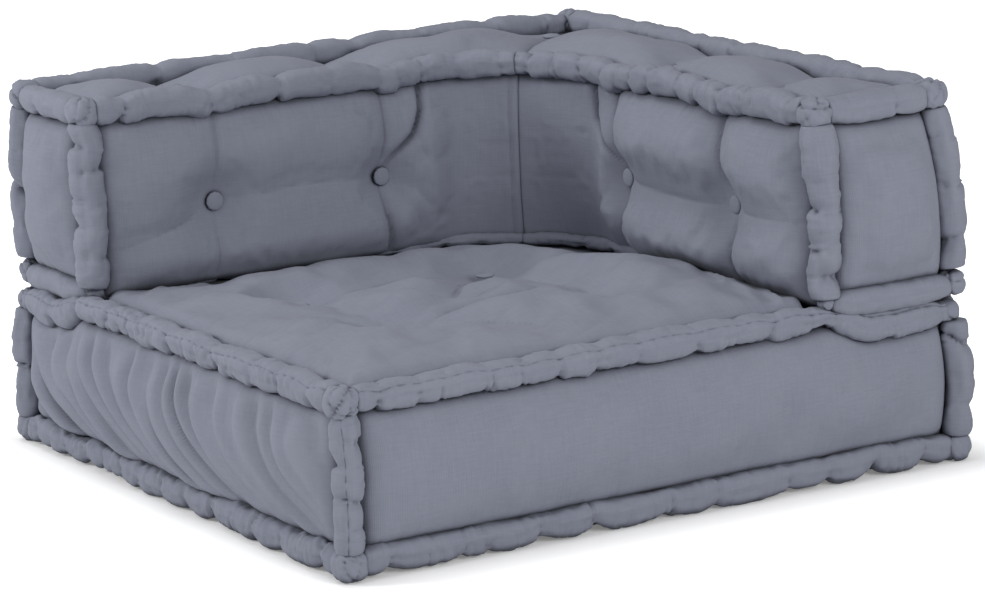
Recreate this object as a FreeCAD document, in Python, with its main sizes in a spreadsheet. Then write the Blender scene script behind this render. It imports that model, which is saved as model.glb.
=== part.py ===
import FreeCAD, Part
import math
import os
import Sketcher

# Corner module of a floor sofa: a square seat mattress with an L-shaped back mattress on it.
# Both are cotton covers over a filling, with hand-rolled edges, knotted corners and tufts.
# Frame: origin on the floor at the centre of the seat, +Z up, the free corner of the seat
# towards -X and -Y, the arms of the back along +Y (rear) and +X (right). Millimetres.

os.makedirs("parts", exist_ok=True)
doc = FreeCAD.newDocument("corner_floor_sofa")
Vector = FreeCAD.Vector

SIZES = {
    "module_span": 670,          # between the centres of opposite rolled edges
    "roll_diameter": 30,         # rolled edge where it is fullest
    "gather_depth": 2.4,         # how far a stitch draws a rolled edge in
    "gather_pitch": 82,          # from stitch to stitch along a level edge
    "upright_pitch": 48,         # from stitch to stitch along an upright edge
    "knot_bevel": 7,             # bevel of the knotted corners
    "clearance": 0.3,            # left between soft neighbours
    "seat_free_height": 164,     # centre of the seat's top edge at the free corner
    "seat_loaded_height": 150,   # centre of the seat's top edge under the back
    "back_height": 177,          # from lower to upper edge centre of the back
    "back_depth": 146,           # from inner to outer edge centre at the foot of the back
    "back_lean": 12,             # how far the outer sides of the back lean in at the top
    "corner_radius": 150,        # rolled edge round the inner corner
    "base_cloth": 5.7,           # bottom cover with its wadding
    "border_edge": 17,           # seat side where it is sewn to an edge
    "border_crown": 30,          # seat side at its fullest
    "border_swell": 110,         # how far from a corner a seat side is fullest
    "wall_edge": 16,             # back side where it is sewn to an edge
    "wall_crown": 28,            # back side at its fullest
    "back_swell": 75,            # how far from an end the sides and top of the back are fullest
    "face_edge": 12,             # face towards the sitter at its edges
    "face_crown": 27,            # face towards the sitter at its fullest
    "seam_depth": 16,            # face towards the sitter at the upright corner seam
    "top_edge": 8,               # top of the back at its edges
    "top_crown": 21,             # top of the back at its fullest
    "dip_depth": 9,              # how deep a button sinks into the cover
    "dip_reach": 38,             # how far a dip spreads
    "seat_crown": 14,            # swell of the open seat
    "seat_swell": 80,            # how far from its edges the open seat is fullest
    "seat_edge_lift": 5,         # how much higher the cover starts at the free corner
    "button_diameter": 19,
    "button_thickness": 5,
    "button_rim": 1.6,
    "twine_diameter": 2,
    "tuft_centre": -75,          # middle of the seat's five tufts, on both axes
    "tuft_pitch": 105,           # from that middle tuft to the other four, on both axes
    "button_first": 148,         # from the arm's end edge to the first face button
    "button_pitch": 192,         # between the two buttons of an arm
    "button_rise": 70,           # from the back's lower edge centre to the buttons
    "tuft_stagger": 7,           # top tufts stand this far beside the face buttons
}

sheet = doc.addObject("Spreadsheet::Sheet", "sizes")
for row, (alias, number) in enumerate(SIZES.items(), start=1):
    sheet.set(f"A{row}", alias.replace("_", " "))
    sheet.set(f"B{row}", str(number))
    sheet.setAlias(f"B{row}", alias)
doc.recompute()

# Formulas that several pieces share. FreeCAD's expressions read them as they stand.
HALF = "(sizes.module_span / 2)"
ROLL = "(sizes.roll_diameter / 2)"
REACH = f"({ROLL} + sizes.clearance)"
EDGE = f"({HALF} - {REACH})"
SEAT_TOP = f"(sizes.seat_loaded_height + {ROLL})"
BACK_FOOT = f"({SEAT_TOP} + sizes.clearance)"
BACK_LOW = f"({BACK_FOOT} + {ROLL})"
BACK_HIGH = f"({BACK_LOW} + sizes.back_height)"
BACK_CORE_LOW = f"({BACK_FOOT} + sizes.base_cloth)"
BACK_CORE_HIGH = f"({BACK_HIGH} - sizes.top_edge + {ROLL} / 5)"
INNER = f"({HALF} - sizes.back_depth)"
INNER_WALL = f"({INNER} + {REACH})"
LOADED_LINE = f"({INNER} - {REACH})"
ROUND_CENTRE = f"({INNER} - sizes.corner_radius)"
ROUND_WALL = f"(sizes.corner_radius + {REACH})"
ROUND_LOADED = f"(sizes.corner_radius - {REACH})"
TOP_MIDDLE = f"(({HALF} - sizes.back_lean + {INNER}) / 2)"
POCKET_DEPTH = "(sizes.dip_depth + sizes.button_thickness)"
BUTTON_HEIGHT = f"({BACK_LOW} + sizes.button_rise)"
BUTTON_PLACES = (f"(sizes.button_first - {HALF})", f"(sizes.button_first + sizes.button_pitch - {HALF})")
LEAN_AT_BUTTON = "sizes.back_lean * sizes.button_rise / sizes.back_height"
FACE_BASE = f"({INNER_WALL} - sizes.face_crown + {POCKET_DEPTH})"
OUTER_BASE = f"({HALF} - {LEAN_AT_BUTTON} - {REACH} + sizes.wall_crown - {POCKET_DEPTH})"
TOP_BASE = f"({BACK_CORE_HIGH} + sizes.top_crown - {POCKET_DEPTH})"
SEAT_BUTTON_BASE = f"({SEAT_TOP} + sizes.seat_crown - {POCKET_DEPTH})"
SEAT_TWINE_LOW = "(sizes.base_cloth + sizes.clearance)"
BUTTON_HOLE = "(sizes.button_diameter / 2 + sizes.clearance)"
TWINE_HOLE = "(sizes.twine_diameter / 2 + sizes.clearance)"
TWINE = "(sizes.twine_diameter / 2)"
UPWARD = (0, 0, 1)
DOWNWARD = (0, 0, -1)


def value(formula):
    """Number that a formula gives with the sizes in the sheet."""
    return float(sheet.evalExpression(formula))


def bind(piece, **formulas):
    """Ties properties of a document object to formulas; x, y and z are its place."""
    for name, formula in formulas.items():
        path = f"Placement.Base.{name}" if name in ("x", "y", "z") else name
        piece.setExpression(path, str(formula))
    return piece


half = value(HALF)
roll_radius = value(ROLL)
reach = value(REACH)
edge = value(EDGE)
clearance = value("sizes.clearance")
round_centre = value(ROUND_CENTRE)


def swell(distance, width):
    """Rises from 0 at an edge to 1 at the given distance from it, like stuffed cloth."""
    return math.sin(math.pi / 2 * min(max(distance / width, 0.0), 1.0))


def fullness(distance, width):
    """Share of a panel's swell at a distance from its sewn end."""
    return END_FULLNESS + (1 - END_FULLNESS) * swell(distance, width)


def dip(distance):
    """Share of a tuft's depth at a distance from it."""
    return math.exp(-(distance / value("sizes.dip_reach")) ** 2)


# Shapes that neither PartDesign nor the Part primitives make: stuffed panels and rolled edges

ROLL_SIDES = 10
FLATNESS = 1e-6                        # how far off a flat face its fourth corner may be
TUFT_STATIONS = (-1.1, -0.5, 0, 0.5, 1.1)   # where a tuft's dip is followed, in its reach
END_STATIONS = (0.7, 1.6)              # and where a panel's swell is followed near its end
END_FULLNESS = 0.15                    # share of its swell that a panel keeps at its end
SHOULDER = 0.75                        # share of its swell a quarter of the way across
CORNER_STEPS = 4                       # steps in half of the round inner corner


def places_along(start, end, tufts, closed):
    """Places for stations along a panel: close together by its tufts and by its sewn ends."""
    spread = value("sizes.dip_reach")
    wanted = [start + spread * share for share in END_STATIONS]
    if closed:
        wanted += [end - spread * share for share in END_STATIONS]
    for tuft in tufts:
        wanted += [tuft + spread * share for share in TUFT_STATIONS]
    wanted += [(first + last) / 2 for first, last in zip(tufts, tufts[1:])]
    least_gap = spread / 6
    places = [start]
    for place in sorted(wanted):
        if places[-1] + least_gap < place <= end - least_gap:
            places.append(place)
    return [*places, end]


def stuffed_panel(stations):
    """Solid through stations along a panel: each has its two back points and its face points."""
    outlines = [Part.makePolygon([start, *face, end, start]) for start, end, face in stations]
    return Part.makeLoft(outlines, True, True)


def tufted_panel(stations):
    """The same for a panel with tufts, whose many dips are folded in flat faces."""
    return folded_solid([[start, *face, end] for start, end, face in stations])


def face_points(back_start, back_end, outward, heights):
    """Evenly spaced points of a panel's face at the given heights over its back."""
    steps = len(heights) - 1
    span = back_end - back_start
    return [back_start + span * (index / steps) + outward * height
            for index, height in enumerate(heights)]


def crowned_station(back_start, back_end, outward, edge_height, middle, crest):
    """Station whose face rises from both edges to the middle height."""
    crown = edge_height + (crest - edge_height) * SHOULDER
    heights = [edge_height, crown, middle, crown, edge_height]
    return back_start, back_end, face_points(back_start, back_end, outward, heights)


def ring(centre, across, up, radius):
    """Corners of a rolled edge's section: a polygon, so that its many gathers stay light."""
    angles = [2 * math.pi * number / ROLL_SIDES for number in range(ROLL_SIDES)]
    return [centre + (across * math.cos(angle) + up * math.sin(angle)) * radius for angle in angles]


def flat_face(*corners):
    """Flat face with the given corners."""
    return Part.Face(Part.makePolygon([*corners, corners[0]]))


def between(near, far):
    """Flat faces from one outline to the next; a twisted strip is folded along its diagonal."""
    faces = []
    for number in range(len(near)):
        beside = (number + 1) % len(near)
        corners = (near[number], near[beside], far[beside], far[number])
        side, slant, other = (corner - corners[0] for corner in corners[1:])
        normal = side.cross(slant)
        if abs(normal.dot(other)) < FLATNESS * normal.Length:
            faces.append(flat_face(*corners))
        else:
            faces += [flat_face(*corners[:3]), flat_face(corners[0], *corners[2:])]
    return faces


def folded_solid(outlines):
    """Loft in flat faces through outlines with equal numbers of corners, light enough to repeat."""
    faces = [flat_face(*outlines[0]), flat_face(*outlines[-1])]
    for near, far in zip(outlines, outlines[1:]):
        faces += between(near, far)
    skin = Part.makeShell(faces)
    skin.sewShape()
    solid = Part.makeSolid(skin)
    if solid.Volume < 0:
        solid.reverse()
    return solid


def rolled_edge(place, length, pitch, across, up):
    """Rolled edge along place(distance), drawn in by a stitch at every pitch."""
    gathers = max(1, round(length / pitch))
    rings = []
    for index in range(2 * gathers + 1):
        distance = length * index / (2 * gathers)
        drawn = value("sizes.gather_depth") if index % 2 == 0 else 0.0
        rings.append(ring(place(distance), across(distance), up, roll_radius - drawn))
    return folded_solid(rings)


def straight_roll(start, end):
    """Rolled edge between the centres of two knots, its ends flat against them."""
    span = end - start
    axis = max((Vector(1, 0, 0), Vector(0, 1, 0), Vector(0, 0, 1)), key=lambda unit: abs(unit.dot(span)))
    upright = axis.z == 1
    pitch = value("sizes.upright_pitch" if upright else "sizes.gather_pitch")
    reached = abs(span.dot(axis))
    per_mm = span / reached
    across = Vector(1, 0, 0) if upright else axis.cross(Vector(0, 0, 1))
    up = Vector(0, 1, 0) if upright else Vector(0, 0, 1)
    first = start + per_mm * reach
    return rolled_edge(lambda distance: first + per_mm * distance, reached - 2 * reach, pitch,
                       lambda distance: across, up)


def shape_piece(label, shape):
    """Document object for a shape made in this script."""
    piece = doc.addObject("Part::Feature", label)
    piece.Shape = shape
    piece.Placement = FreeCAD.Placement()
    return piece


pieces = []


def keep(piece, label):
    """Names a sub-part; its label is the name of its file."""
    piece.Label = label
    pieces.append(piece)
    return piece


def cut_from(base, tools):
    """Cuts a group of tools from a piece."""
    result = doc.addObject("Part::Cut", base.Name + "_cut")
    result.Base = base
    result.Tool = tools
    return result


def group(name, members):
    """One object that holds separate solids."""
    compound = doc.addObject("Part::Compound", name)
    compound.Links = members
    return compound


# Where the rolled edges run

def back_inset(height):
    """How far the outer sides of the back have leaned in at a height."""
    return value("sizes.back_lean") * (height - value(BACK_LOW)) / value("sizes.back_height")


def seat_edge_height(along):
    """Centre height of the seat's front and left top edges, which the back presses down."""
    free = value("sizes.seat_free_height")
    loaded = value("sizes.seat_loaded_height")
    share = min((along + half) / (value(LOADED_LINE) + half), 1.0)
    return free + (loaded - free) * share


def seat_corner(x_side, y_side, top):
    """Centre of a seat knot; the sides are -1 or 1."""
    if not top:
        return Vector(x_side * half, y_side * half, roll_radius)
    return Vector(x_side * half, y_side * half, seat_edge_height(half * max(x_side, y_side)))


def back_corner(name, top):
    """Centre of a back knot."""
    height = value(BACK_HIGH) if top else value(BACK_LOW)
    outer = half - back_inset(height)
    inner = value(INNER)
    places = {
        "rear_left": (-outer, outer),
        "rear_right": (outer, outer),
        "front_right": (outer, -outer),
        "inner_left": (-outer, inner),
        "inner_front": (inner, -outer),
    }
    return Vector(*places[name], height)


SIDES = {"front": (0, -1), "right": (1, 0), "rear": (0, 1), "left": (-1, 0)}
BACK_CORNERS = ("rear_left", "rear_right", "front_right", "inner_left", "inner_front")


# Buttons: a cloth-covered disc with a bevelled rim, and a twine from button to button

BUTTON_SIDES = 12
TWINE_SIDES = 6


def button_master():
    """One covered button, standing on its flat side, its rim bevelled where the cloth folds over."""
    disc = doc.addObject("Part::Prism", "button_disc")
    disc.Polygon = BUTTON_SIDES
    bind(disc, Circumradius="sizes.button_diameter / 2", Height="sizes.button_thickness")
    doc.recompute()
    button = doc.addObject("Part::Chamfer", "covered_button")
    button.Base = disc
    tall = value("sizes.button_thickness")
    rim = value("sizes.button_rim")
    button.Edges = [(number, rim, rim * 2) for number, line in enumerate(disc.Shape.Edges, start=1)
                    if line.BoundBox.ZMin > tall / 2]
    return button


def set_along(piece, direction):
    """Turns a piece made along +Z to point the given way."""
    piece.Placement.Rotation = FreeCAD.Rotation(Vector(0, 0, 1), Vector(*direction))
    return piece


def button_at(master, name, place, direction):
    """A copy of the button, its flat side at the place and its crown along the direction."""
    link = doc.addObject("App::Link", name)
    link.LinkedObject = master
    set_along(link, direction)
    return bind(link, x=place[0], y=place[1], z=place[2])


def rod(name, sides, radius, length, place, direction):
    """Bar or hole tool with so many sides, from a place along a direction."""
    bar = doc.addObject("Part::Prism", name)
    bar.Polygon = sides
    set_along(bar, direction)
    return bind(bar, Circumradius=radius, Height=length, x=place[0], y=place[1], z=place[2])


def pocket(name, place, direction):
    """Tool for the hole in a cover in which a button sits."""
    return rod(name, BUTTON_SIDES, BUTTON_HOLE, "sizes.roll_diameter", place, direction)


def channel(name, length, place, direction):
    """Tool for the channel through which a twine runs."""
    return rod(name, TWINE_SIDES, TWINE_HOLE, length, place, direction)


def twine(name, length, place, direction):
    """Tufting twine between two buttons."""
    return rod(name, TWINE_SIDES, TWINE, length, place, direction)


# Seat mattress

def seat_tufts():
    """Formulas of the five tufts: one in the middle and four round it."""
    middle = "sizes.tuft_centre"
    places = [(middle, middle)]
    for x_sign in "-+":
        for y_sign in "-+":
            places.append((f"({middle} {x_sign} sizes.tuft_pitch)", f"({middle} {y_sign} sizes.tuft_pitch)"))
    return places


def seat_rise(x, y):
    """Height of the seat's cover over its loaded part."""
    loaded_line = value(LOADED_LINE)
    if min(x, y) > round_centre:
        to_back = value(ROUND_LOADED) - math.hypot(x - round_centre, y - round_centre)
    else:
        to_back = loaded_line - max(x, y)
    if to_back <= 0:
        return 0.0
    to_free = min(x, y) + edge
    open_part = swell(to_free, value("sizes.seat_swell")) * swell(to_back, value("sizes.seat_swell"))
    lift = value("sizes.seat_edge_lift") * (1 - (max(x, y) + edge) / (loaded_line + edge))
    drawn = sum(dip(math.hypot(x - value(tuft_x), y - value(tuft_y))) for tuft_x, tuft_y in seat_tufts())
    return lift + open_part * (value("sizes.seat_crown") - value("sizes.dip_depth") * drawn)


def seat_open_end(y):
    """Where the open seat ends and the loaded part begins in a section across X."""
    if y <= round_centre:
        return value(LOADED_LINE)
    depth = value(ROUND_LOADED)
    return round_centre + math.sqrt(max(depth ** 2 - (y - round_centre) ** 2, 0.0))


def seat_top_station(y):
    """Section of the seat's top cover at one place along Y."""
    middle = value("sizes.tuft_centre")
    pitch = value("sizes.tuft_pitch")
    end = seat_open_end(y)
    last_tuft = min(middle + pitch, end - roll_radius / 2)
    columns = [-edge, middle - pitch, middle, last_tuft, (last_tuft + end) / 2, end]
    low = value("sizes.seat_loaded_height")
    points = []
    for left, right in zip(columns, columns[1:]):
        points += [left, (left + right) / 2]
    points += [end, (end + edge) / 2, edge]
    face = [Vector(x, y, value(SEAT_TOP) + seat_rise(x, y)) for x in points]
    return Vector(-edge, y, low), Vector(edge, y, low), face


def seat_top_panel():
    """Top cover with its wadding: crowned where it is open, flat under the back."""
    step = value("sizes.tuft_pitch") / 4
    last = value(LOADED_LINE)
    most = math.ceil(2 * edge / step)
    rows = [value("sizes.tuft_centre") + step * count for count in range(-most, most)]
    rows = [y for y in rows if -edge + step / 2 < y < last - step / 4]
    cover = tufted_panel([seat_top_station(y) for y in [-edge, *rows, last, edge]])
    tools = []
    for number, (x, y) in enumerate(seat_tufts()):
        tools.append(pocket(f"seat_top_pocket_{number}", (x, y, SEAT_BUTTON_BASE), UPWARD))
        tools.append(channel(f"seat_top_channel_{number}", "sizes.roll_diameter * 2",
                             (x, y, "sizes.seat_loaded_height - sizes.roll_diameter"), UPWARD))
    return cut_from(shape_piece("seat_top_cover", cover), group("seat_top_cuts", tools))


def seat_bottom_panel():
    """Flat bottom cover, with holes in which the lower buttons sit."""
    slab = doc.addObject("Part::Box", "seat_bottom_cloth")
    bind(slab, Length=f"2 * {EDGE}", Width=f"2 * {EDGE}", Height="sizes.base_cloth",
         x=f"-{EDGE}", y=f"-{EDGE}", z="0")
    tools = [pocket(f"seat_bottom_hole_{number}", (x, y, "-sizes.base_cloth"), UPWARD)
             for number, (x, y) in enumerate(seat_tufts())]
    return cut_from(slab, group("seat_bottom_holes", tools))


def seat_core():
    """Cotton and foam filling with a channel for each tufting twine."""
    block = doc.addObject("Part::Box", "seat_filling")
    bind(block, Length=f"2 * {EDGE}", Width=f"2 * {EDGE}", x=f"-{EDGE}", y=f"-{EDGE}",
         Height="sizes.seat_loaded_height - sizes.base_cloth", z="sizes.base_cloth")
    tools = [channel(f"seat_channel_{number}", "sizes.seat_loaded_height", (x, y, "0"), UPWARD)
             for number, (x, y) in enumerate(seat_tufts())]
    return cut_from(block, group("seat_channels", tools))


def seat_border(side):
    """Upright side of the seat: wadding and cloth, fullest at mid height."""
    out_x, out_y = SIDES[side]
    outward = Vector(out_x, out_y, 0)
    along = Vector(-out_y, out_x, 0)
    if along.x + along.y < 0:
        along = along * -1
    reached = value("sizes.border_swell")
    places = [edge - reached * share for share in (0, 1 / 3, 2 / 3, 1)]
    places = sorted([-place for place in places] + places)
    sloping = side in ("front", "left")
    if sloping:
        kink = value(LOADED_LINE)
        places = sorted([place for place in places if abs(place - kink) > roll_radius] + [kink])
    stations = []
    for place in places:
        top = seat_edge_height(place) if sloping else value("sizes.seat_loaded_height")
        foot = outward * edge + along * place
        low = foot + Vector(0, 0, roll_radius + reach)
        high = foot + Vector(0, 0, top - reach)
        edge_height = value("sizes.border_edge")
        swollen = value("sizes.border_crown") - edge_height
        middle = edge_height + swollen * fullness(edge - abs(place), reached)
        stations.append(crowned_station(low, high, outward, edge_height, middle, middle))
    return shape_piece(f"seat_{side}_side", stuffed_panel(stations))


def seat_edges():
    """The seat's twelve rolled edges."""
    ends = {"front": ((-1, -1), (1, -1)), "right": ((1, -1), (1, 1)),
            "rear": ((-1, 1), (1, 1)), "left": ((-1, -1), (-1, 1))}
    for level, top in (("top", True), ("bottom", False)):
        for side, (first, last) in ends.items():
            if top and side in ("front", "left"):
                shape = sloping_roll(first, last)
            else:
                shape = straight_roll(seat_corner(*first, top), seat_corner(*last, top))
            keep(shape_piece(f"seat_{level}_{side}_roll", shape), f"seat_{level}_roll_{side}")
    corners = {"front_left": (-1, -1), "front_right": (1, -1), "rear_right": (1, 1), "rear_left": (-1, 1)}
    for name, (x_side, y_side) in corners.items():
        shape = straight_roll(seat_corner(x_side, y_side, False), seat_corner(x_side, y_side, True))
        keep(shape_piece(f"seat_{name}_upright", shape), f"seat_corner_roll_{name}")


def sloping_roll(first, last):
    """Top edge that comes down from the free corner and runs level under the back."""
    start = seat_corner(*first, True)
    end = seat_corner(*last, True)
    axis = Vector(1, 0, 0) if abs(end.x - start.x) > abs(end.y - start.y) else Vector(0, 1, 0)

    def place(distance):
        along = -half + reach + distance
        point = start + axis * (reach + distance)
        return Vector(point.x, point.y, seat_edge_height(along))

    across = axis.cross(Vector(0, 0, 1))
    return rolled_edge(place, 2 * edge, value("sizes.gather_pitch"), lambda distance: across, Vector(0, 0, 1))


def knot_master():
    """Knot of cloth where three rolled edges meet."""
    cube = doc.addObject("Part::Box", "knot_block")
    bind(cube, Length="sizes.roll_diameter", Width="sizes.roll_diameter", Height="sizes.roll_diameter",
         x=f"-{ROLL}", y=f"-{ROLL}", z=f"-{ROLL}")
    doc.recompute()
    knot = doc.addObject("Part::Chamfer", "knot")
    knot.Base = cube
    bevel = value("sizes.knot_bevel")
    knot.Edges = [(number, bevel, bevel) for number in range(1, len(cube.Shape.Edges) + 1)]
    return knot


def knots(name, master, centres):
    """Copies of the knot at the given centres."""
    links = []
    for number, centre in enumerate(centres):
        link = doc.addObject("App::Link", f"{name}_{number}")
        link.LinkedObject = master
        link.Placement.Base = centre
        links.append(link)
    return group(name, links)


# Back mattress

def wall_station(low, high, outward, heights, drawn, filled):
    """Station of a side of the back: how far it is drawn in there, and how full it is."""
    edge_height, crown = heights
    full = edge_height + (crown - edge_height) * filled
    middle = full - value("sizes.dip_depth") * drawn
    return crowned_station(low, high, outward, edge_height, middle, full)


def wall_heights():
    """Lower and upper edge of the upright sides of the back."""
    return value(BACK_LOW) + reach, value(BACK_HIGH) - reach


def button_offsets():
    """Places of the two face buttons along an arm, from the module's middle."""
    first = value(f"sizes.button_first - {HALF}")
    return [first, first + value("sizes.button_pitch")]


def outer_wall(side):
    """Outer side of one arm, leaning in, with its two buttons drawn in."""
    low_z, high_z = wall_heights()
    stations = []
    for along in places_along(-edge, edge, button_offsets(), True):
        share = (along + edge) / (2 * edge)
        ends = []
        for height in (low_z, high_z):
            reached = half - back_inset(height) - reach
            level = -reached + 2 * reached * share
            ends.append(Vector(level, reached, height) if side == "rear" else Vector(reached, level, height))
        outward = Vector(0, 1, 0) if side == "rear" else Vector(1, 0, 0)
        drawn = sum(dip(along - place) for place in button_offsets())
        filled = fullness(edge - abs(along), value("sizes.back_swell"))
        heights = (value("sizes.wall_edge"), value("sizes.wall_crown"))
        stations.append(wall_station(*ends, outward, heights, drawn, filled))
    cover = shape_piece(f"back_{side}_outside", tufted_panel(stations))
    return cut_from(cover, button_cuts(f"back_{side}_outside", side, OUTER_BASE, 1))


def on_arm(side, along, depth, height):
    """Place on the rear arm, or its mirror image on the right arm."""
    return (along, depth, height) if side == "rear" else (depth, along, height)


def button_cuts(name, side, base, sign):
    """Pockets for the buttons of one arm's face or outer side, with their twine channels."""
    direction = (0, sign, 0) if side == "rear" else (sign, 0, 0)
    tools = []
    behind = f"({base} - ({sign}) * sizes.roll_diameter * 2)"
    for number, along in enumerate(BUTTON_PLACES):
        place = on_arm(side, along, base, BUTTON_HEIGHT)
        start = on_arm(side, along, behind, BUTTON_HEIGHT)
        tools.append(pocket(f"{name}_pocket_{number}", place, direction))
        tools.append(channel(f"{name}_channel_{number}", "sizes.roll_diameter * 3", start, direction))
    return group(f"{name}_cuts", tools)


def face_panel():
    """Face of the rear arm towards the sitter, from its end to the upright corner seam."""
    low_z, high_z = wall_heights()
    wall = value(INNER_WALL) - clearance
    radius = value(ROUND_WALL) - clearance
    heights = (value("sizes.face_edge"), value("sizes.face_crown"))
    stations = []
    for along in places_along(-edge, round_centre, button_offsets(), False):
        share = (along + edge) / (round_centre + edge)
        ends = []
        for height in (low_z, high_z):
            start = -(half - back_inset(height) - reach)
            ends.append(Vector(start + (round_centre - start) * share, wall, height))
        drawn = sum(dip(along - place) for place in button_offsets())
        filled = fullness(along + edge, value("sizes.back_swell"))
        stations.append(wall_station(*ends, Vector(0, -1, 0), heights, drawn, filled))
    seam_share = (value("sizes.seam_depth") - heights[0]) / (heights[1] - heights[0])
    for index in range(1, CORNER_STEPS + 1):
        turned = index / CORNER_STEPS
        angle = math.radians(45 * turned)
        outward = Vector(-math.sin(angle), -math.cos(angle), 0)
        centre = Vector(round_centre, round_centre, 0)
        ends = [centre - outward * radius + Vector(0, 0, height) for height in (low_z, high_z)]
        travelled = round_centre + radius * angle
        drawn = sum(dip(travelled - place) for place in button_offsets())
        filled = 1 + (seam_share - 1) * swell(turned, 1)
        stations.append(wall_station(*ends, outward, heights, drawn * (1 - turned), filled))
    cover = shape_piece("back_rear_face", tufted_panel(stations))
    return cut_from(cover, button_cuts("back_rear_face", "rear", FACE_BASE, -1))


def mirrored(piece, name):
    """Mirror image of a rear-arm piece on the right arm."""
    image = doc.addObject("Part::Mirroring", name)
    image.Source = piece
    image.Base = Vector(0, 0, 0)
    image.Normal = Vector(1, -1, 0)
    return image


def end_panel():
    """End of the rear arm, at the left."""
    low_z, high_z = wall_heights()
    stations = []
    for share in (0.0, 0.5, 1.0):
        ends = []
        for height in (low_z, high_z):
            outer = half - back_inset(height) - reach
            inner = value(INNER_WALL)
            ends.append(Vector(-outer, inner + (outer - inner) * share, height))
        filled = fullness(0.5 - abs(share - 0.5), 0.5)
        heights = (value("sizes.wall_edge"), value("sizes.wall_crown"))
        stations.append(wall_station(*ends, Vector(-1, 0, 0), heights, 0.0, filled))
    return shape_piece("back_left_end", stuffed_panel(stations))


def top_tufts():
    """Formulas of the tufts on the top of the back: two on each arm and one at the corner."""
    places = [(TOP_MIDDLE, TOP_MIDDLE)]
    for along in BUTTON_PLACES:
        beside = f"({along} - sizes.tuft_stagger)"
        places += [(beside, TOP_MIDDLE), (TOP_MIDDLE, beside)]
    return places


def top_station(inner, outer, travelled, filled):
    """Section across the top of the back."""
    edge_height = value("sizes.top_edge")
    crown = value("sizes.top_crown")
    beside = [place - value("sizes.tuft_stagger") for place in button_offsets()]
    corner = value(TOP_MIDDLE)
    drawn = sum(dip(travelled - place) for place in [*beside, corner])
    full = edge_height + (crown - edge_height) * filled
    middle = full - value("sizes.dip_depth") * drawn
    return crowned_station(inner, outer, Vector(0, 0, 1), edge_height, middle, full)


def top_panel():
    """Top cover of the back, one piece round the corner, crowned between its tufts."""
    low = value(BACK_CORE_HIGH)
    wall = value(INNER_WALL)
    outer = half - value("sizes.back_lean") - reach
    arm = []
    beside = [place - value("sizes.tuft_stagger") for place in button_offsets()]
    for along in places_along(-outer, round_centre, beside, False):
        filled = fullness(along + outer, value("sizes.back_swell"))
        arm.append(top_station(Vector(along, wall, low), Vector(along, outer, low), along, filled))
    chord_room = math.cos(math.radians(22.5 / CORNER_STEPS))
    for index in range(1, CORNER_STEPS + 1):
        angle = math.radians(45 * index / CORNER_STEPS)
        toward = Vector(math.sin(angle), math.cos(angle), 0)
        centre = Vector(round_centre, round_centre, low)
        out = centre + toward * ((outer - round_centre) / math.cos(angle))
        travelled = round_centre + (value(TOP_MIDDLE) - round_centre) * math.tan(angle)
        inner = centre + toward * (value(ROUND_WALL) / chord_room)
        arm.append(top_station(inner, out, travelled, 1.0))
    half_cover = shape_piece("back_top_half", tufted_panel(arm))
    cover = doc.addObject("Part::Fuse", "back_top_cover")
    cover.Base = half_cover
    cover.Tool = mirrored(half_cover, "back_top_image")
    tools = []
    for number, (x, y) in enumerate(top_tufts()):
        tools.append(pocket(f"back_top_pocket_{number}", (x, y, TOP_BASE), UPWARD))
        tools.append(channel(f"back_top_channel_{number}", "sizes.roll_diameter * 2",
                             (x, y, f"{BACK_CORE_HIGH} - sizes.roll_diameter"), UPWARD))
    return cut_from(cover, group("back_top_cuts", tools))


def back_outline(height):
    """Outline of the back's filling at a height, with its round inner corner."""
    outer = half - back_inset(height) - reach
    wall = value(INNER_WALL)
    radius = value(ROUND_WALL)
    turn = radius * math.sqrt(0.5)
    places = [(wall, round_centre), (wall, -outer), (outer, -outer), (outer, outer),
              (-outer, outer), (-outer, wall), (round_centre, wall)]
    corners = [Vector(x, y, height) for x, y in places]
    edges = [Part.LineSegment(first, last).toShape() for first, last in zip(corners, corners[1:])]
    middle = Vector(round_centre + turn, round_centre + turn, height)
    edges.append(Part.Arc(corners[-1], middle, corners[0]).toShape())
    return Part.Wire(edges)


def back_channels(name):
    """Channels for all the twines of the back."""
    tools = []
    for side in ("rear", "right"):
        direction = (0, 1, 0) if side == "rear" else (1, 0, 0)
        for number, along in enumerate(BUTTON_PLACES):
            place = on_arm(side, along, FACE_BASE, BUTTON_HEIGHT)
            tools.append(channel(f"{name}_{side}_{number}", "sizes.back_depth * 1.5", place, direction))
    for number, (x, y) in enumerate(top_tufts()):
        tools.append(channel(f"{name}_upright_{number}", "sizes.back_height * 1.5", (x, y, SEAT_TOP), UPWARD))
    return group(name, tools)


def back_core():
    """Filling of the back, an L in plan that leans in on its outer sides."""
    outlines = [back_outline(value(BACK_CORE_LOW)), back_outline(value(BACK_CORE_HIGH))]
    filling = shape_piece("back_filling", Part.makeLoft(outlines, True, True))
    return cut_from(filling, back_channels("back_channel"))


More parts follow.
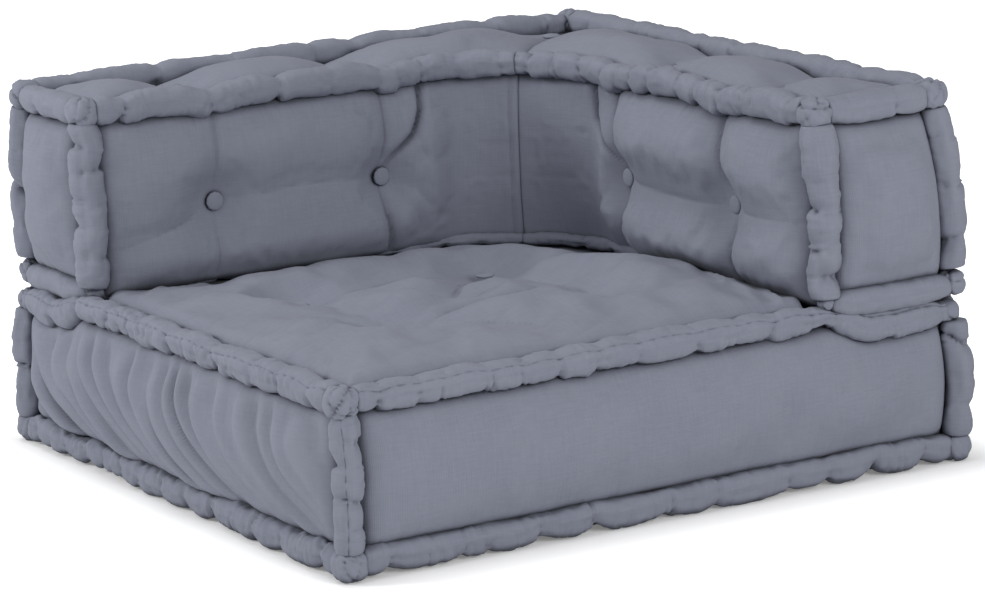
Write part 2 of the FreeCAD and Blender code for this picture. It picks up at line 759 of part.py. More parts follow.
def l_sketch(body):
    """Outline of the back's bottom cover, driven by the sheet."""
    sketch = body.newObject("Sketcher::SketchObject", "back_bottom_outline")
    plane = next(item for item in body.Origin.OriginFeatures if item.Role == "XY_Plane")
    sketch.AttachmentSupport = (plane, [""])
    sketch.MapMode = "FlatFace"
    wall = value(INNER_WALL)
    places = [(wall, round_centre), (wall, -edge), (edge, -edge), (edge, edge),
              (-edge, edge), (-edge, wall), (round_centre, wall)]
    corners = [Vector(x, y, 0) for x, y in places]
    for first, last in zip(corners, corners[1:]):
        sketch.addGeometry(Part.LineSegment(first, last))
    circle = Part.Circle(Vector(round_centre, round_centre, 0), Vector(0, 0, 1), value(ROUND_WALL))
    arc = sketch.addGeometry(Part.ArcOfCircle(circle, 0, math.pi / 2))
    for line in range(5):
        sketch.addConstraint(Sketcher.Constraint("Coincident", line, 2, line + 1, 1))
    for line in range(6):
        sketch.addConstraint(Sketcher.Constraint("Vertical" if line % 2 == 0 else "Horizontal", line))
    sketch.addConstraint(Sketcher.Constraint("Tangent", 0, 1, arc, 1))
    sketch.addConstraint(Sketcher.Constraint("Tangent", 5, 2, arc, 2))
    driven = [INNER_WALL, f"-{EDGE}", EDGE, EDGE, f"-{EDGE}", INNER_WALL]
    for line, formula in enumerate(driven):
        kind = "DistanceX" if line % 2 == 0 else "DistanceY"
        index = sketch.addConstraint(Sketcher.Constraint(kind, -1, 1, line, 1, value(formula)))
        sketch.setExpression(f"Constraints[{index}]", formula)
    index = sketch.addConstraint(Sketcher.Constraint("Radius", arc, value(ROUND_WALL)))
    sketch.setExpression(f"Constraints[{index}]", ROUND_WALL)
    return sketch


def back_bottom_panel():
    """Flat bottom cover of the back, with holes in which the lower buttons sit."""
    body = doc.addObject("PartDesign::Body", "back_bottom_cloth")
    pad = body.newObject("PartDesign::Pad", "back_bottom_pad")
    pad.Profile = l_sketch(body)
    bind(pad, Length="sizes.base_cloth")
    bind(body, z=BACK_FOOT)
    tools = [pocket(f"back_bottom_hole_{number}", (x, y, f"{BACK_FOOT} - sizes.base_cloth"), UPWARD)
             for number, (x, y) in enumerate(top_tufts())]
    return cut_from(body, group("back_bottom_holes", tools))


def inner_roll(top):
    """Edge of the rear arm over or under its face, as far as the upright corner seam."""
    height = value(BACK_HIGH) if top else value(BACK_LOW)
    start = -(half - back_inset(height)) + reach
    run = round_centre - start
    radius = value("sizes.corner_radius")
    length = run + radius * math.pi / 4

    def place(distance):
        if distance <= run:
            return Vector(start + distance, value(INNER), height)
        angle = (distance - run) / radius
        toward = Vector(math.sin(angle), math.cos(angle), 0)
        return Vector(round_centre, round_centre, height) + toward * radius

    def across(distance):
        angle = max(distance - run, 0.0) / radius
        return Vector(-math.sin(angle), -math.cos(angle), 0)

    return rolled_edge(place, length, value("sizes.gather_pitch"), across, Vector(0, 0, 1))


def back_edges():
    """The back's rolled edges: round the top, round the bottom and up its corners."""
    for level, top in (("top", True), ("bottom", False)):
        rear = keep(shape_piece(f"back_{level}_inner", inner_roll(top)), f"back_{level}_roll_inner_rear")
        keep(mirrored(rear, f"back_{level}_inner_image"), f"back_{level}_roll_inner_right")
        runs = {"outer_rear": ("rear_left", "rear_right"), "outer_right": ("front_right", "rear_right"),
                "end_left": ("inner_left", "rear_left"), "end_front": ("inner_front", "front_right")}
        for name, (first, last) in runs.items():
            shape = straight_roll(back_corner(first, top), back_corner(last, top))
            keep(shape_piece(f"back_{level}_{name}", shape), f"back_{level}_roll_{name}")
    for name in BACK_CORNERS:
        shape = straight_roll(back_corner(name, False), back_corner(name, True))
        keep(shape_piece(f"back_{name}_upright", shape), f"back_corner_roll_{name}")


def seat_tufting(master):
    """Buttons over and under the seat, and the twines that hold them down."""
    over = []
    under = []
    twines = []
    length = f"{SEAT_BUTTON_BASE} - {SEAT_TWINE_LOW}"
    for number, (x, y) in enumerate(seat_tufts()):
        crown = (x, y, f"{SEAT_BUTTON_BASE} + sizes.clearance")
        over.append(button_at(master, f"seat_top_button_{number}", crown, UPWARD))
        foot = (x, y, "sizes.base_cloth")
        under.append(button_at(master, f"seat_bottom_button_{number}", foot, DOWNWARD))
        twines.append(twine(f"seat_twine_{number}", length, (x, y, SEAT_TWINE_LOW), UPWARD))
    keep(group("seat_top_button_group", over), "seat_top_buttons")
    keep(group("seat_bottom_button_group", under), "seat_bottom_buttons")
    keep(group("seat_twine_group", twines), "seat_tufting_twines")


def arm_tufting(master, side):
    """Buttons on both faces of one arm, with their twines."""
    outward = (0, 1, 0) if side == "rear" else (1, 0, 0)
    inward = (0, -1, 0) if side == "rear" else (-1, 0, 0)
    faces = []
    outsides = []
    twines = []
    for number, along in enumerate(BUTTON_PLACES):
        place = on_arm(side, along, f"{FACE_BASE} - sizes.clearance", BUTTON_HEIGHT)
        faces.append(button_at(master, f"back_{side}_face_button_{number}", place, inward))
        place = on_arm(side, along, f"{OUTER_BASE} + sizes.clearance", BUTTON_HEIGHT)
        outsides.append(button_at(master, f"back_{side}_outer_button_{number}", place, outward))
        place = on_arm(side, along, FACE_BASE, BUTTON_HEIGHT)
        twines.append(twine(f"back_{side}_twine_{number}", f"{OUTER_BASE} - {FACE_BASE}", place, outward))
    return faces, outsides, twines


def back_tufting(master):
    """All buttons and twines of the back."""
    rear = arm_tufting(master, "rear")
    right = arm_tufting(master, "right")
    twines = rear[2] + right[2]
    over = []
    under = []
    length = f"{TOP_BASE} - {BACK_CORE_LOW} - sizes.clearance"
    for number, (x, y) in enumerate(top_tufts()):
        crown = (x, y, f"{TOP_BASE} + sizes.clearance")
        start = (x, y, f"{BACK_CORE_LOW} + sizes.clearance")
        over.append(button_at(master, f"back_top_button_{number}", crown, UPWARD))
        under.append(button_at(master, f"back_bottom_button_{number}", (x, y, BACK_CORE_LOW), DOWNWARD))
        twines.append(twine(f"back_upright_twine_{number}", length, start, UPWARD))
    keep(group("back_face_button_group", rear[0] + right[0]), "back_face_buttons")
    keep(group("back_outer_button_group", rear[1] + right[1]), "back_outer_buttons")
    keep(group("back_top_button_group", over), "back_top_buttons")
    keep(group("back_bottom_button_group", under), "back_bottom_buttons")
    keep(group("back_twine_group", twines), "back_tufting_twines")


# Assembly of the seat

covered_button = button_master()
knot = knot_master()
keep(seat_core(), "seat_core")
keep(seat_top_panel(), "seat_top_panel")
keep(seat_bottom_panel(), "seat_bottom_panel")
for side_name in SIDES:
    keep(seat_border(side_name), f"seat_border_{side_name}")
seat_edges()
corners_of_seat = [(x_side, y_side, top) for x_side in (-1, 1) for y_side in (-1, 1) for top in (False, True)]
keep(knots("seat_knot", knot, [seat_corner(*corner) for corner in corners_of_seat]), "seat_corner_knots")
seat_tufting(covered_button)

# Assembly of the back

keep(back_core(), "back_core")
keep(top_panel(), "back_top_panel")
keep(back_bottom_panel(), "back_bottom_panel")
rear_face = keep(face_panel(), "back_face_panel_rear")
keep(mirrored(rear_face, "back_face_image"), "back_face_panel_right")
keep(outer_wall("rear"), "back_outer_panel_rear")
keep(outer_wall("right"), "back_outer_panel_right")
left_end = keep(end_panel(), "back_end_panel_left")
keep(mirrored(left_end, "back_end_image"), "back_end_panel_front")
back_edges()
back_knots = [back_corner(name, top) for name in BACK_CORNERS for top in (False, True)]
keep(knots("back_knot", knot, back_knots), "back_corner_knots")
back_tufting(covered_button)

# Every object has to be sound before anything is written

doc.recompute()
for item in doc.Objects:
    if "Invalid" in item.State or "Error" in item.State:
        raise RuntimeError(f"{item.Name} failed: {item.State}")
for piece in pieces:
    if piece.Shape.isNull() or not piece.Shape.isValid() or not piece.Shape.Solids:
        raise RuntimeError(f"{piece.Label} has no sound solid")
for piece in pieces:
    piece.Shape.exportStep(f"parts/{piece.Label}.step")
print(f"{len(pieces)} sub-parts written")
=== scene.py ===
import math

import bpy
import numpy as np
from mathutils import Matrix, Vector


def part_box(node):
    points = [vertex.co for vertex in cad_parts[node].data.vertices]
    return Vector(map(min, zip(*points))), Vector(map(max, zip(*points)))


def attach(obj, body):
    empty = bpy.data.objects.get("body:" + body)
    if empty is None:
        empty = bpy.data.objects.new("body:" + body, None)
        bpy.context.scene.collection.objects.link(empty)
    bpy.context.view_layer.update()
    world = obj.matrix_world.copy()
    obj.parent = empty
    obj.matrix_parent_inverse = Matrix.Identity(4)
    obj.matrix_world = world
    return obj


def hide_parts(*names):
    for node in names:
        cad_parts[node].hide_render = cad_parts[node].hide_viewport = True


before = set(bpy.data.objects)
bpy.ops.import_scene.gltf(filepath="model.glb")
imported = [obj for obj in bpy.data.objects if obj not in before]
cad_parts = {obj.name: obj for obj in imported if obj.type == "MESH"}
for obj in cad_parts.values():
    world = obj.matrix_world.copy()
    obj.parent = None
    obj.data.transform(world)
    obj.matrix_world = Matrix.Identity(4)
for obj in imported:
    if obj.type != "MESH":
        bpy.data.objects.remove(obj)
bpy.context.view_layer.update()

# Cotton fillings of the seat and of the back
# The real ones are layered cotton batting round a foam slab. They are closed in on all sides by the
# covers and give the mattresses their bulk; each is a block with soft edges and a felted, lumpy skin.

SEAT = "seat_mattress"
BACK = "back_mattress"


def linear(code):
    """Linear colour of an sRGB hex code."""
    parts = [int(code[place:place + 2], 16) / 255 for place in (1, 3, 5)]
    return [part / 12.92 if part <= 0.04045 else ((part + 0.055) / 1.055) ** 2.4 for part in parts] + [1.0]


def add(tree, kind, inputs=None, **settings):
    """Adds a node with its settings; an input is a value or the socket that feeds it."""
    node = tree.nodes.new(kind)
    for name, setting in settings.items():
        setattr(node, name, setting)
    for name, given in (inputs or {}).items():
        if isinstance(given, bpy.types.NodeSocket):
            tree.links.new(given, node.inputs[name])
        else:
            node.inputs[name].default_value = given
    return node


def new_material(name):
    """Empty material with its output and principled shader, linked."""
    material = bpy.data.materials.new(name)
    material.use_nodes = True
    tree = material.node_tree
    tree.nodes.clear()
    shader = add(tree, "ShaderNodeBsdfPrincipled")
    add(tree, "ShaderNodeOutputMaterial", {"Surface": shader.outputs["BSDF"]})
    return material, tree, shader


def cotton_batting():
    """Bleached cotton batting: off-white, quite matt, clumped every 12 mm or so."""
    material, tree, shader = new_material("cotton batting")
    place = add(tree, "ShaderNodeTexCoord").outputs["Object"]
    clumps = add(tree, "ShaderNodeTexNoise", {"Vector": place, "Scale": 1 / 0.012, "Detail": 6.0})
    tint = add(tree, "ShaderNodeMix", {"Factor": clumps.outputs["Fac"], "A": linear("#d8d0bf"),
                                       "B": linear("#efe9dc")}, data_type="RGBA")
    relief = add(tree, "ShaderNodeBump", {"Height": clumps.outputs["Fac"], "Strength": 0.6,
                                          "Distance": 0.002})
    tree.links.new(tint.outputs["Result"], shader.inputs["Base Color"])
    tree.links.new(relief.outputs["Normal"], shader.inputs["Normal"])
    shader.inputs["Roughness"].default_value = 0.95
    return material


BATTING = cotton_batting()


def lumps(across, along, size, seed):
    """Smooth random hills about `size` apart, from -1 to 1."""
    table = np.random.default_rng(seed).uniform(-1, 1, (64, 64))
    steps = [np.asarray(distance, float) / size for distance in np.broadcast_arrays(across, along)]
    cells = [np.floor(step).astype(int) for step in steps]
    shares = [step - cell for step, cell in zip(steps, cells)]
    x, y = (share ** 3 * (share * (share * 6 - 15) + 10) for share in shares)
    corner = [[table[(cells[0] + i) % 64, (cells[1] + j) % 64] for j in (0, 1)] for i in (0, 1)]
    near = corner[0][0] * (1 - y) + corner[0][1] * y
    far = corner[1][0] * (1 - y) + corner[1][1] * y
    return near * (1 - x) + far * x


def mesh_piece(name, points, faces, body, material, nodes, places=None):
    """Makes a piece from points and faces, gives it cloth distances as UVs, and seats it on its body."""
    mesh = bpy.data.meshes.new(name)
    mesh.from_pydata([tuple(point) for point in points], [], faces)
    mesh.validate()
    if places is not None:
        layer = mesh.uv_layers.new(name="cloth_metres")
        corners = np.empty(len(mesh.loops), int)
        mesh.loops.foreach_get("vertex_index", corners)
        layer.data.foreach_set("uv", np.asarray(places, float)[corners].ravel())
    mesh.polygons.foreach_set("use_smooth", [True] * len(mesh.polygons))
    mesh.materials.append(material)
    piece = bpy.data.objects.new(name, mesh)
    bpy.context.scene.collection.objects.link(piece)
    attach(piece, body)
    if nodes:
        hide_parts(*nodes)
    return piece


FELT_GRAIN = 0.010           # size of the cells that the filling is rebuilt from
FILLING_SIZE = 0.985         # share of the solid's size, so that the filling stays inside the covers


def filling(name, node, body):
    """Soft-edged copy of the filling's solid, a few millimetres inside the covers."""
    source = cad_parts[node].copy()
    source.data = source.data.copy()
    bpy.context.scene.collection.objects.link(source)
    source.parent = None
    for key in list(source.keys()):
        del source[key]
    source.name = name
    remesh = source.modifiers.new("felt", "REMESH")
    remesh.mode = "VOXEL"
    remesh.voxel_size = FELT_GRAIN
    smooth = source.modifiers.new("soft_edges", "SMOOTH")
    smooth.iterations = 12
    shaped = bpy.data.meshes.new_from_object(source.evaluated_get(bpy.context.evaluated_depsgraph_get()))
    source.modifiers.clear()
    source.data = shaped
    points = np.array([vertex.co for vertex in shaped.vertices])
    middle = (points.max(0) + points.min(0)) / 2
    lumpy = lumps(points[:, 0] + points[:, 2], points[:, 1] - points[:, 2], 0.03, 5)[:, None] * 0.001
    points = middle + (points - middle) * FILLING_SIZE + (points - middle) * lumpy
    shaped.vertices.foreach_set("co", points.ravel())
    shaped.materials.clear()
    shaped.materials.append(BATTING)
    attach(source, body)
    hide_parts(node)
    return source


filling("seat_filling", "seat_core", SEAT)
filling("back_filling", "back_core", BACK)


# Covers of the seat mattress
# Six panels of slate-blue cotton canvas, washed and quite matt, sewn to rolled edges. The top is drawn
# down at five tufts, and the sides are gathered to the edges, so that slanting folds run over them.

def slate_canvas():
    """Plain-weave cotton canvas: matt, faintly mottled by washing, with slubs along both threads."""
    material, tree, shader = new_material("washed slate cotton canvas")
    cloth = add(tree, "ShaderNodeUVMap", uv_map="cloth_metres").outputs["UV"]
    place = add(tree, "ShaderNodeTexCoord").outputs["Object"]
    # the real threads are 0.5 mm apart; they are drawn 1.6 mm apart, or they would not show
    bands = {"Vector": cloth, "Scale": 2 * math.pi / 20 / 0.0016, "Distortion": 1.5, "Detail": 2.0,
             "Detail Scale": 0.4}
    weave = [add(tree, "ShaderNodeTexWave", bands, wave_type="BANDS", bands_direction=way).outputs["Fac"]
             for way in ("X", "Y")]
    threads = add(tree, "ShaderNodeMath", {0: weave[0], 1: weave[1]}, operation="MULTIPLY").outputs[0]
    slubs = []
    for stretch in ((1 / 0.020, 1 / 0.0022, 1), (1 / 0.0022, 1 / 0.026, 1)):
        laid = add(tree, "ShaderNodeMapping", {"Vector": cloth, "Scale": stretch}).outputs["Vector"]
        cloudy = add(tree, "ShaderNodeTexNoise", {"Vector": laid, "Scale": 1.0, "Detail": 3.0})
        slubs.append(cloudy.outputs["Fac"])
    slub = add(tree, "ShaderNodeMath", {0: slubs[0], 1: slubs[1]}, operation="ADD").outputs[0]
    clouds = {"Vector": place, "Scale": 1 / 0.07, "Detail": 4.0}
    faded = add(tree, "ShaderNodeTexNoise", clouds).outputs["Fac"]
    # pointiness paints a highlight on crests and edges and paints shade into folds
    painted_light_pointiness = add(tree, "ShaderNodeNewGeometry").outputs["Pointiness"]
    # ambient occlusion paints shade beside the rolled edges, between the parts and under the buttons
    painted_shade_occlusion = add(tree, "ShaderNodeAmbientOcclusion", {"Distance": 0.014}, samples=6).outputs["AO"]
    colour = linear("#7c808e")
    # from top to bottom: slubs; cloudy fading; painted highlight on crests and edges; painted shade in folds
    # and seams; painted shade from ambient occlusion in the pockets beside the rolled edges and under the
    # buttons
    for value, low, high, most, tone in ((slub, 0.7, 1.3, 1.0, "#838795"),
                                         (faded, 0.3, 0.7, 0.35, "#8b8e9b"),
                                         (painted_light_pointiness, 0.50, 0.58, 0.08, "#a0a3ae"),
                                         (painted_light_pointiness, 0.49, 0.40, 0.75, "#4a4d59"),
                                         (painted_shade_occlusion, 0.72, 0.25, 0.75, "#353843")):
        share = add(tree, "ShaderNodeMapRange", {"Value": value, "From Min": low, "From Max": high,
                                                 "To Min": 0.0, "To Max": most}).outputs["Result"]
        colour = add(tree, "ShaderNodeMix", {"Factor": share, "A": colour, "B": linear(tone)},
                     data_type="RGBA").outputs["Result"]
    tree.links.new(colour, shader.inputs["Base Color"])
    height = add(tree, "ShaderNodeMath", {0: slub, 1: 0.30, 2: threads}, operation="MULTIPLY_ADD").outputs[0]
    relief = add(tree, "ShaderNodeBump", {"Height": height, "Strength": 0.35, "Distance": 0.0004})
    tree.links.new(relief.outputs["Normal"], shader.inputs["Normal"])
    shader.inputs["Roughness"].default_value = 0.92
    shader.inputs["Specular IOR Level"].default_value = 0.25
    shader.inputs["Sheen Weight"].default_value = 0.04
    shader.inputs["Sheen Roughness"].default_value = 0.5
    return material


CANVAS = slate_canvas()

KNOTS_LOW, KNOTS_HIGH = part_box("seat_corner_knots")
BACK_KNOTS_LOW, BACK_KNOTS_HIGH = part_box("back_corner_knots")
CORE_LOW, CORE_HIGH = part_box("seat_core")
INNER_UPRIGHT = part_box("back_corner_roll_inner_front")
ROLL = (INNER_UPRIGHT[1].x - INNER_UPRIGHT[0].x) / 2
HALF = KNOTS_HIGH.x - ROLL
EDGE = CORE_HIGH.x
SEAT_LOW = KNOTS_LOW.z + ROLL
SEAT_FREE = KNOTS_HIGH.z - ROLL
SEAT_LOADED = CORE_HIGH.z
BACK_INNER = INNER_UPRIGHT[1].x - ROLL
LOADED_LINE = BACK_INNER - ROLL
CORNER_RADIUS = 0.150
ROUND_CENTRE = BACK_INNER - CORNER_RADIUS
BACK_LOW = BACK_KNOTS_LOW.z + ROLL
BACK_HIGH = BACK_KNOTS_HIGH.z - ROLL
STEP = 0.0035                # between the points of a cover
FINE = 0.0025                # the same where the folds are narrow
TUCK = 0.004                 # how far a cover runs in under its rolled edges
TRIAL_STEP = 0.0068          # between the points of the coarse cloth that swells under pressure
TRIAL_FRAMES = 20
# how far the filling bows each side out at half height
BOW = {"left": 0.001, "right": 0.005, "front": 0.006, "rear": 0.003}
PULLED_IN = 0.011            # how far the left end of the back is drawn in at its foot


def centres(node, apart=0.04):
    """Middles of the separate solids of a node, which lie further apart than this."""
    found = []
    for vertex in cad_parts[node].data.vertices:
        place = np.array(vertex.co)
        for group in found:
            if np.linalg.norm(group[0] - place) < apart:
                group.append(place)
                break
        else:
            found.append([place])
    return [(np.min(group, 0) + np.max(group, 0)) / 2 for group in found]


def bowed(points, low, high):
    """Lets a mattress bow out between its lower and upper edges, most at its outer sides."""
    points = np.array(points, float)
    rise = np.clip((points[..., 2] - low) / (high - low), 0, 1)
    for axis, (lesser, greater) in enumerate((("left", "right"), ("front", "rear"))):
        reach = np.where(points[..., axis] < 0, BOW[lesser], BOW[greater])
        points[..., axis] += reach * np.sin(math.pi * rise) * (points[..., axis] / HALF) ** 3
    if low > SEAT_LOADED:
        to_left = np.clip(-points[..., 0] / HALF, 0, 1) ** 3
        points[..., 0] += to_left * (PULLED_IN * (1 - rise) ** 1.3 - 0.004 * rise)
    return points


def puff(distance, width):
    """Rises steeply from 0 at a seam to 1, in a quarter of a circle."""
    share = 1 - np.clip(distance / width, 0, 1)
    return np.sqrt(np.clip(1 - share ** 2, 0, 1))


def swell(distance, width):
    """Rises gently from 0 at a seam to 1."""
    return np.sin(np.clip(distance / width, 0, 1) * math.pi / 2)


def dip(distance, reach, sharp):
    """Falls from 1 at a crease to 0 at its reach: rounded like a pillow's flank, or soft like a wave."""
    share = np.clip(distance / reach, 0, 1)
    flank = 1 - np.sqrt(np.clip(1 - (1 - share) ** 2, 0, 1))
    return sharp * flank + (1 - sharp) * (0.5 + 0.5 * np.cos(math.pi * share))


def crease(along, across, line, depth, reach, sharp=0.7):
    """Depth of a valley that the cloth makes along a line of points; it may fade from end to end."""
    best = np.full(np.shape(along), 1e9)
    deep = np.zeros(np.shape(along))
    start_depth, end_depth = depth
    last = len(line) - 1
    for number, ((x, y), (next_x, next_y)) in enumerate(zip(line, line[1:])):
        run = np.array([next_x - x, next_y - y])
        share = ((along - x) * run[0] + (across - y) * run[1]) / (run @ run)
        share = np.clip(share, 0, 1)
        distance = np.hypot(along - x - share * run[0], across - y - share * run[1])
        here = start_depth + (end_depth - start_depth) * (number + share) / last
        deep = np.where(distance < best, here, deep)
        best = np.minimum(best, distance)
    return deep * dip(np.clip(best - 0.0012 * sharp, 0, 1), reach, sharp)


def tuft(along, across, centre, depth, reach):
    """Depth of the dip round a button."""
    distance = np.hypot(along - centre[0], across - centre[1])
    return depth * dip(np.clip(distance - 0.007, 0, 1), reach, 0.8)


def together(depths, most):
    """Joins the depths of several creases smoothly; together they reach no deeper than `most`."""
    left = 1.0
    for depth in depths:
        left = left * (1 - np.minimum(depth / most, 0.98))
    return most * (1 - left)


def gathers(along, distance, pitch, depth, reach, seed):
    """Depth of the small folds that run from a gathered seam into the cloth."""
    fold = 1 - np.abs(lumps(along, distance * 0.15, pitch, seed)) * 2.2
    strength = 0.5 + 0.5 * lumps(along, 0.3, pitch * 3, seed + 1)
    return depth * strength * np.clip(fold, 0, 1) ** 1.5 * np.exp(-distance / (reach * (0.4 + strength)))


def line_of(*corners, step=STEP):
    """Points about a step apart along straight lines."""
    points = [np.array(corners[0], float)]
    for first, last in zip(corners, corners[1:]):
        first, last = np.array(first, float), np.array(last, float)
        count = max(1, round(np.linalg.norm(last - first) / step))
        points += [first + (last - first) * number / count for number in range(1, count + 1)]
    return np.array(points)


def cell_shares(count, chosen):
    """Weights that spread values at the chosen rows over all rows."""
    return np.stack([np.interp(np.arange(count), chosen, single) for single in np.eye(len(chosen))], 1)


def settled(face, sewn, flipped, give):
    """Lets the cloth swell and wrinkle between its seams; gives how far each point moves, at most `give`."""
    columns, rows = face.shape[:2]
    every = max(1, round(TRIAL_STEP / np.linalg.norm(face[1, rows // 2] - face[0, rows // 2])))
    across = np.unique([*range(0, columns, every), columns - 1])
    up = np.unique([*range(0, rows, every), rows - 1])
    coarse = face[across][:, up]
    wide, tall = coarse.shape[:2]
    faces = []
    for column in range(wide - 1):
        for row in range(tall - 1):
            corner = column * tall + row
            ring = (corner, corner + tall, corner + tall + 1, corner + 1)
            faces.append(ring[::-1] if flipped else ring)
    mesh = bpy.data.meshes.new("cloth_trial")
    mesh.from_pydata([tuple(point) for point in coarse.reshape(-1, 3)], [], faces)
    trial = bpy.data.objects.new("cloth_trial", mesh)
    bpy.context.scene.collection.objects.link(trial)
    seams = trial.vertex_groups.new(name="sewn")
    for number, hold in enumerate(sewn[across][:, up].ravel()):
        seams.add([number], float(hold), "REPLACE")
    cloth = trial.modifiers.new("cloth", "CLOTH")
    settings = cloth.settings
    settings.quality = 6
    settings.mass = 0.15
    settings.tension_stiffness = 12
    settings.compression_stiffness = 12
    settings.shear_stiffness = 4
    settings.bending_stiffness = 0.6
    settings.air_damping = 3
    settings.vertex_group_mass = "sewn"
    settings.shrink_min = -0.05
    settings.use_pressure = True
    settings.uniform_pressure_force = 4
    settings.effector_weights.gravity = 0
    cloth.collision_settings.use_collision = False
    cloth.point_cache.frame_start = 1
    cloth.point_cache.frame_end = TRIAL_FRAMES
    for moment in range(1, TRIAL_FRAMES + 1):
        bpy.context.scene.frame_set(moment)
    shaped = trial.evaluated_get(bpy.context.evaluated_depsgraph_get()).to_mesh()
    after = np.array([vertex.co for vertex in shaped.vertices]).reshape(coarse.shape)
    bpy.context.scene.frame_set(1)
    bpy.data.objects.remove(trial)
    bpy.data.meshes.remove(mesh)
    moved = after - coarse
    length = np.linalg.norm(moved, axis=-1, keepdims=True)
    moved *= np.minimum(1, give / np.maximum(length, 1e-9))
    # evens out the folds that are no wider than a cell
    for axis in (0, 1, 0, 1):
        lined = np.moveaxis(moved, axis, 0)
        lined = np.concatenate([lined[:1], lined, lined[-1:]])
        moved = np.moveaxis((lined[:-2] + 2 * lined[1:-1] + lined[2:]) / 4, 0, axis)
    moved[[0, -1]] = 0
    moved[:, [0, -1]] = 0
    return np.einsum("ca,abk,rb->crk", cell_shares(columns, across), moved, cell_shares(rows, up))


def sewn_down(tall):
    """Where seams and creases hold the cloth: 0 on the pillows, 1 along the edges and in the creases."""
    low, high = np.percentile(tall, (3, 60))
    held = np.clip(0.8 - (tall - low) / (high - low), 0, 1)
    around = sum(np.roll(tall, shift, axis) for axis in (0, 1) for shift in (-4, 4)) / 4
    held = np.maximum(held, np.clip((around - tall) / 0.0010 - 0.2, 0, 1))
    for axis in (0, 1):
        held = np.maximum.reduce([np.roll(held, shift, axis) for shift in (-2, -1, 0, 1, 2)])
    for axis in (0, 1):
        held = sum(np.roll(held, shift, axis) for shift in range(-3, 4)) / 7
    held[:3] = 1
    held[-3:] = 1
    held[:, :3] = 1
    held[:, -3:] = 1
    return held


def cover(name, nodes, body, low_line, high_line, outward, height, start=0.0, fill=0.7, step=STEP,
          give=0.005):
    """Stuffed panel between two lines: a face that stands out from them and a plain back."""
    columns = len(low_line)
    outward = np.broadcast_to(np.array(outward, float), low_line.shape)
    along = start + np.concatenate([[0], np.cumsum(np.linalg.norm(np.diff(low_line, axis=0), axis=1))])
    width = np.linalg.norm(high_line - low_line, axis=1)
    rows = round(float(np.median(width)) / step) + 1
    share = np.linspace(0, 1, rows)
    base = low_line[:, None] + (high_line - low_line)[:, None] * share[None, :, None]
    far = np.repeat(along[:, None], rows, 1)
    across = width[:, None] * share[None, :]
    tall = height(far, across, width[:, None], base)
    face = base + outward[:, None] * tall[..., None]
    low, high = (SEAT_LOW, SEAT_LOADED) if body == SEAT else (BACK_LOW, BACK_HIGH)
    face = bowed(face, low, high)
    back = bowed(np.stack([low_line, high_line], 1), low, high)
    middle = columns // 2
    facing = np.cross(low_line[middle + 1] - low_line[middle], (high_line - low_line)[middle])
    flipped = float(facing @ outward[middle]) < 0
    if give:
        face = face + settled(face, sewn_down(tall), flipped, give)
    points = np.concatenate([face.reshape(-1, 3), back.reshape(-1, 3)])
    places = np.stack([far, across], -1).reshape(-1, 2)
    back_places = np.stack([along, along * 0], -1)
    places = np.concatenate([places, np.repeat(back_places, 2, 0)])
    first_back = columns * rows
    faces = []
    for column in range(columns - 1):
        for row in range(rows - 1):
            corner = column * rows + row
            faces.append((corner, corner + rows, corner + rows + 1, corner + 1))
        low_back = first_back + 2 * column
        faces.append((low_back, low_back + 1, low_back + 3, low_back + 2))
        corner = column * rows
        faces.append((corner, low_back, low_back + 2, corner + rows))
        corner += rows - 1
        faces.append((corner, corner + rows, low_back + 3, low_back + 1))
    for column in (0, columns - 1):
        low_back = first_back + 2 * column
        ring = (*range(column * rows, (column + 1) * rows), low_back + 1, low_back)
        faces.append(ring if column == 0 else ring[::-1])
    if flipped:
        faces = [ring[::-1] for ring in faces]
    piece = mesh_piece(name, points, faces, body, CANVAS, nodes, places)
    return piece


def seat_edge_height(along):
    """Height of the middle of the seat's front and left top edges: level, then pressed down by the back."""
    share = np.clip((along - BACK_INNER + 0.006) / 0.050, 0, 1)
    return SEAT_FREE + 0.001 + (SEAT_LOADED - SEAT_FREE - 0.001) * (0.5 - 0.5 * np.cos(math.pi * share))


SEAT_TUFTS = [centre[:2] for centre in centres("seat_top_buttons")]
# valleys in the seat's top, from tuft to tuft and to the edges, as x and y, with their depths
SEAT_VALLEYS = [([(-0.236, -0.075), (-0.180, -0.180)], (0.002, 0.007)),
                ([(-0.180, -0.180), (-0.139, -0.161), (-0.060, -0.140), (0.026, -0.119)], (0.007, 0.006)),
                ([(-0.075, -0.075), (-0.020, -0.060), (0.030, -0.090)], (0.009, 0.005)),
                ([(-0.180, -0.180), (-0.087, -0.252), (-0.060, -0.310)], (0.006, 0.001)),
                ([(-0.180, 0.030), (-0.110, -0.030), (-0.075, -0.075)], (0.008, 0.008)),
                ([(-0.075, -0.075), (-0.020, -0.010), (0.030, 0.030)], (0.008, 0.008)),
                ([(0.030, -0.180), (0.040, -0.100), (0.030, 0.030)], (0.006, 0.008)),
                ([(-0.180, 0.030), (-0.080, 0.040), (0.030, 0.030)], (0.006, 0.006)),
                ([(-0.180, -0.180), (-0.190, -0.080), (-0.180, 0.030)], (0.005, 0.005))]


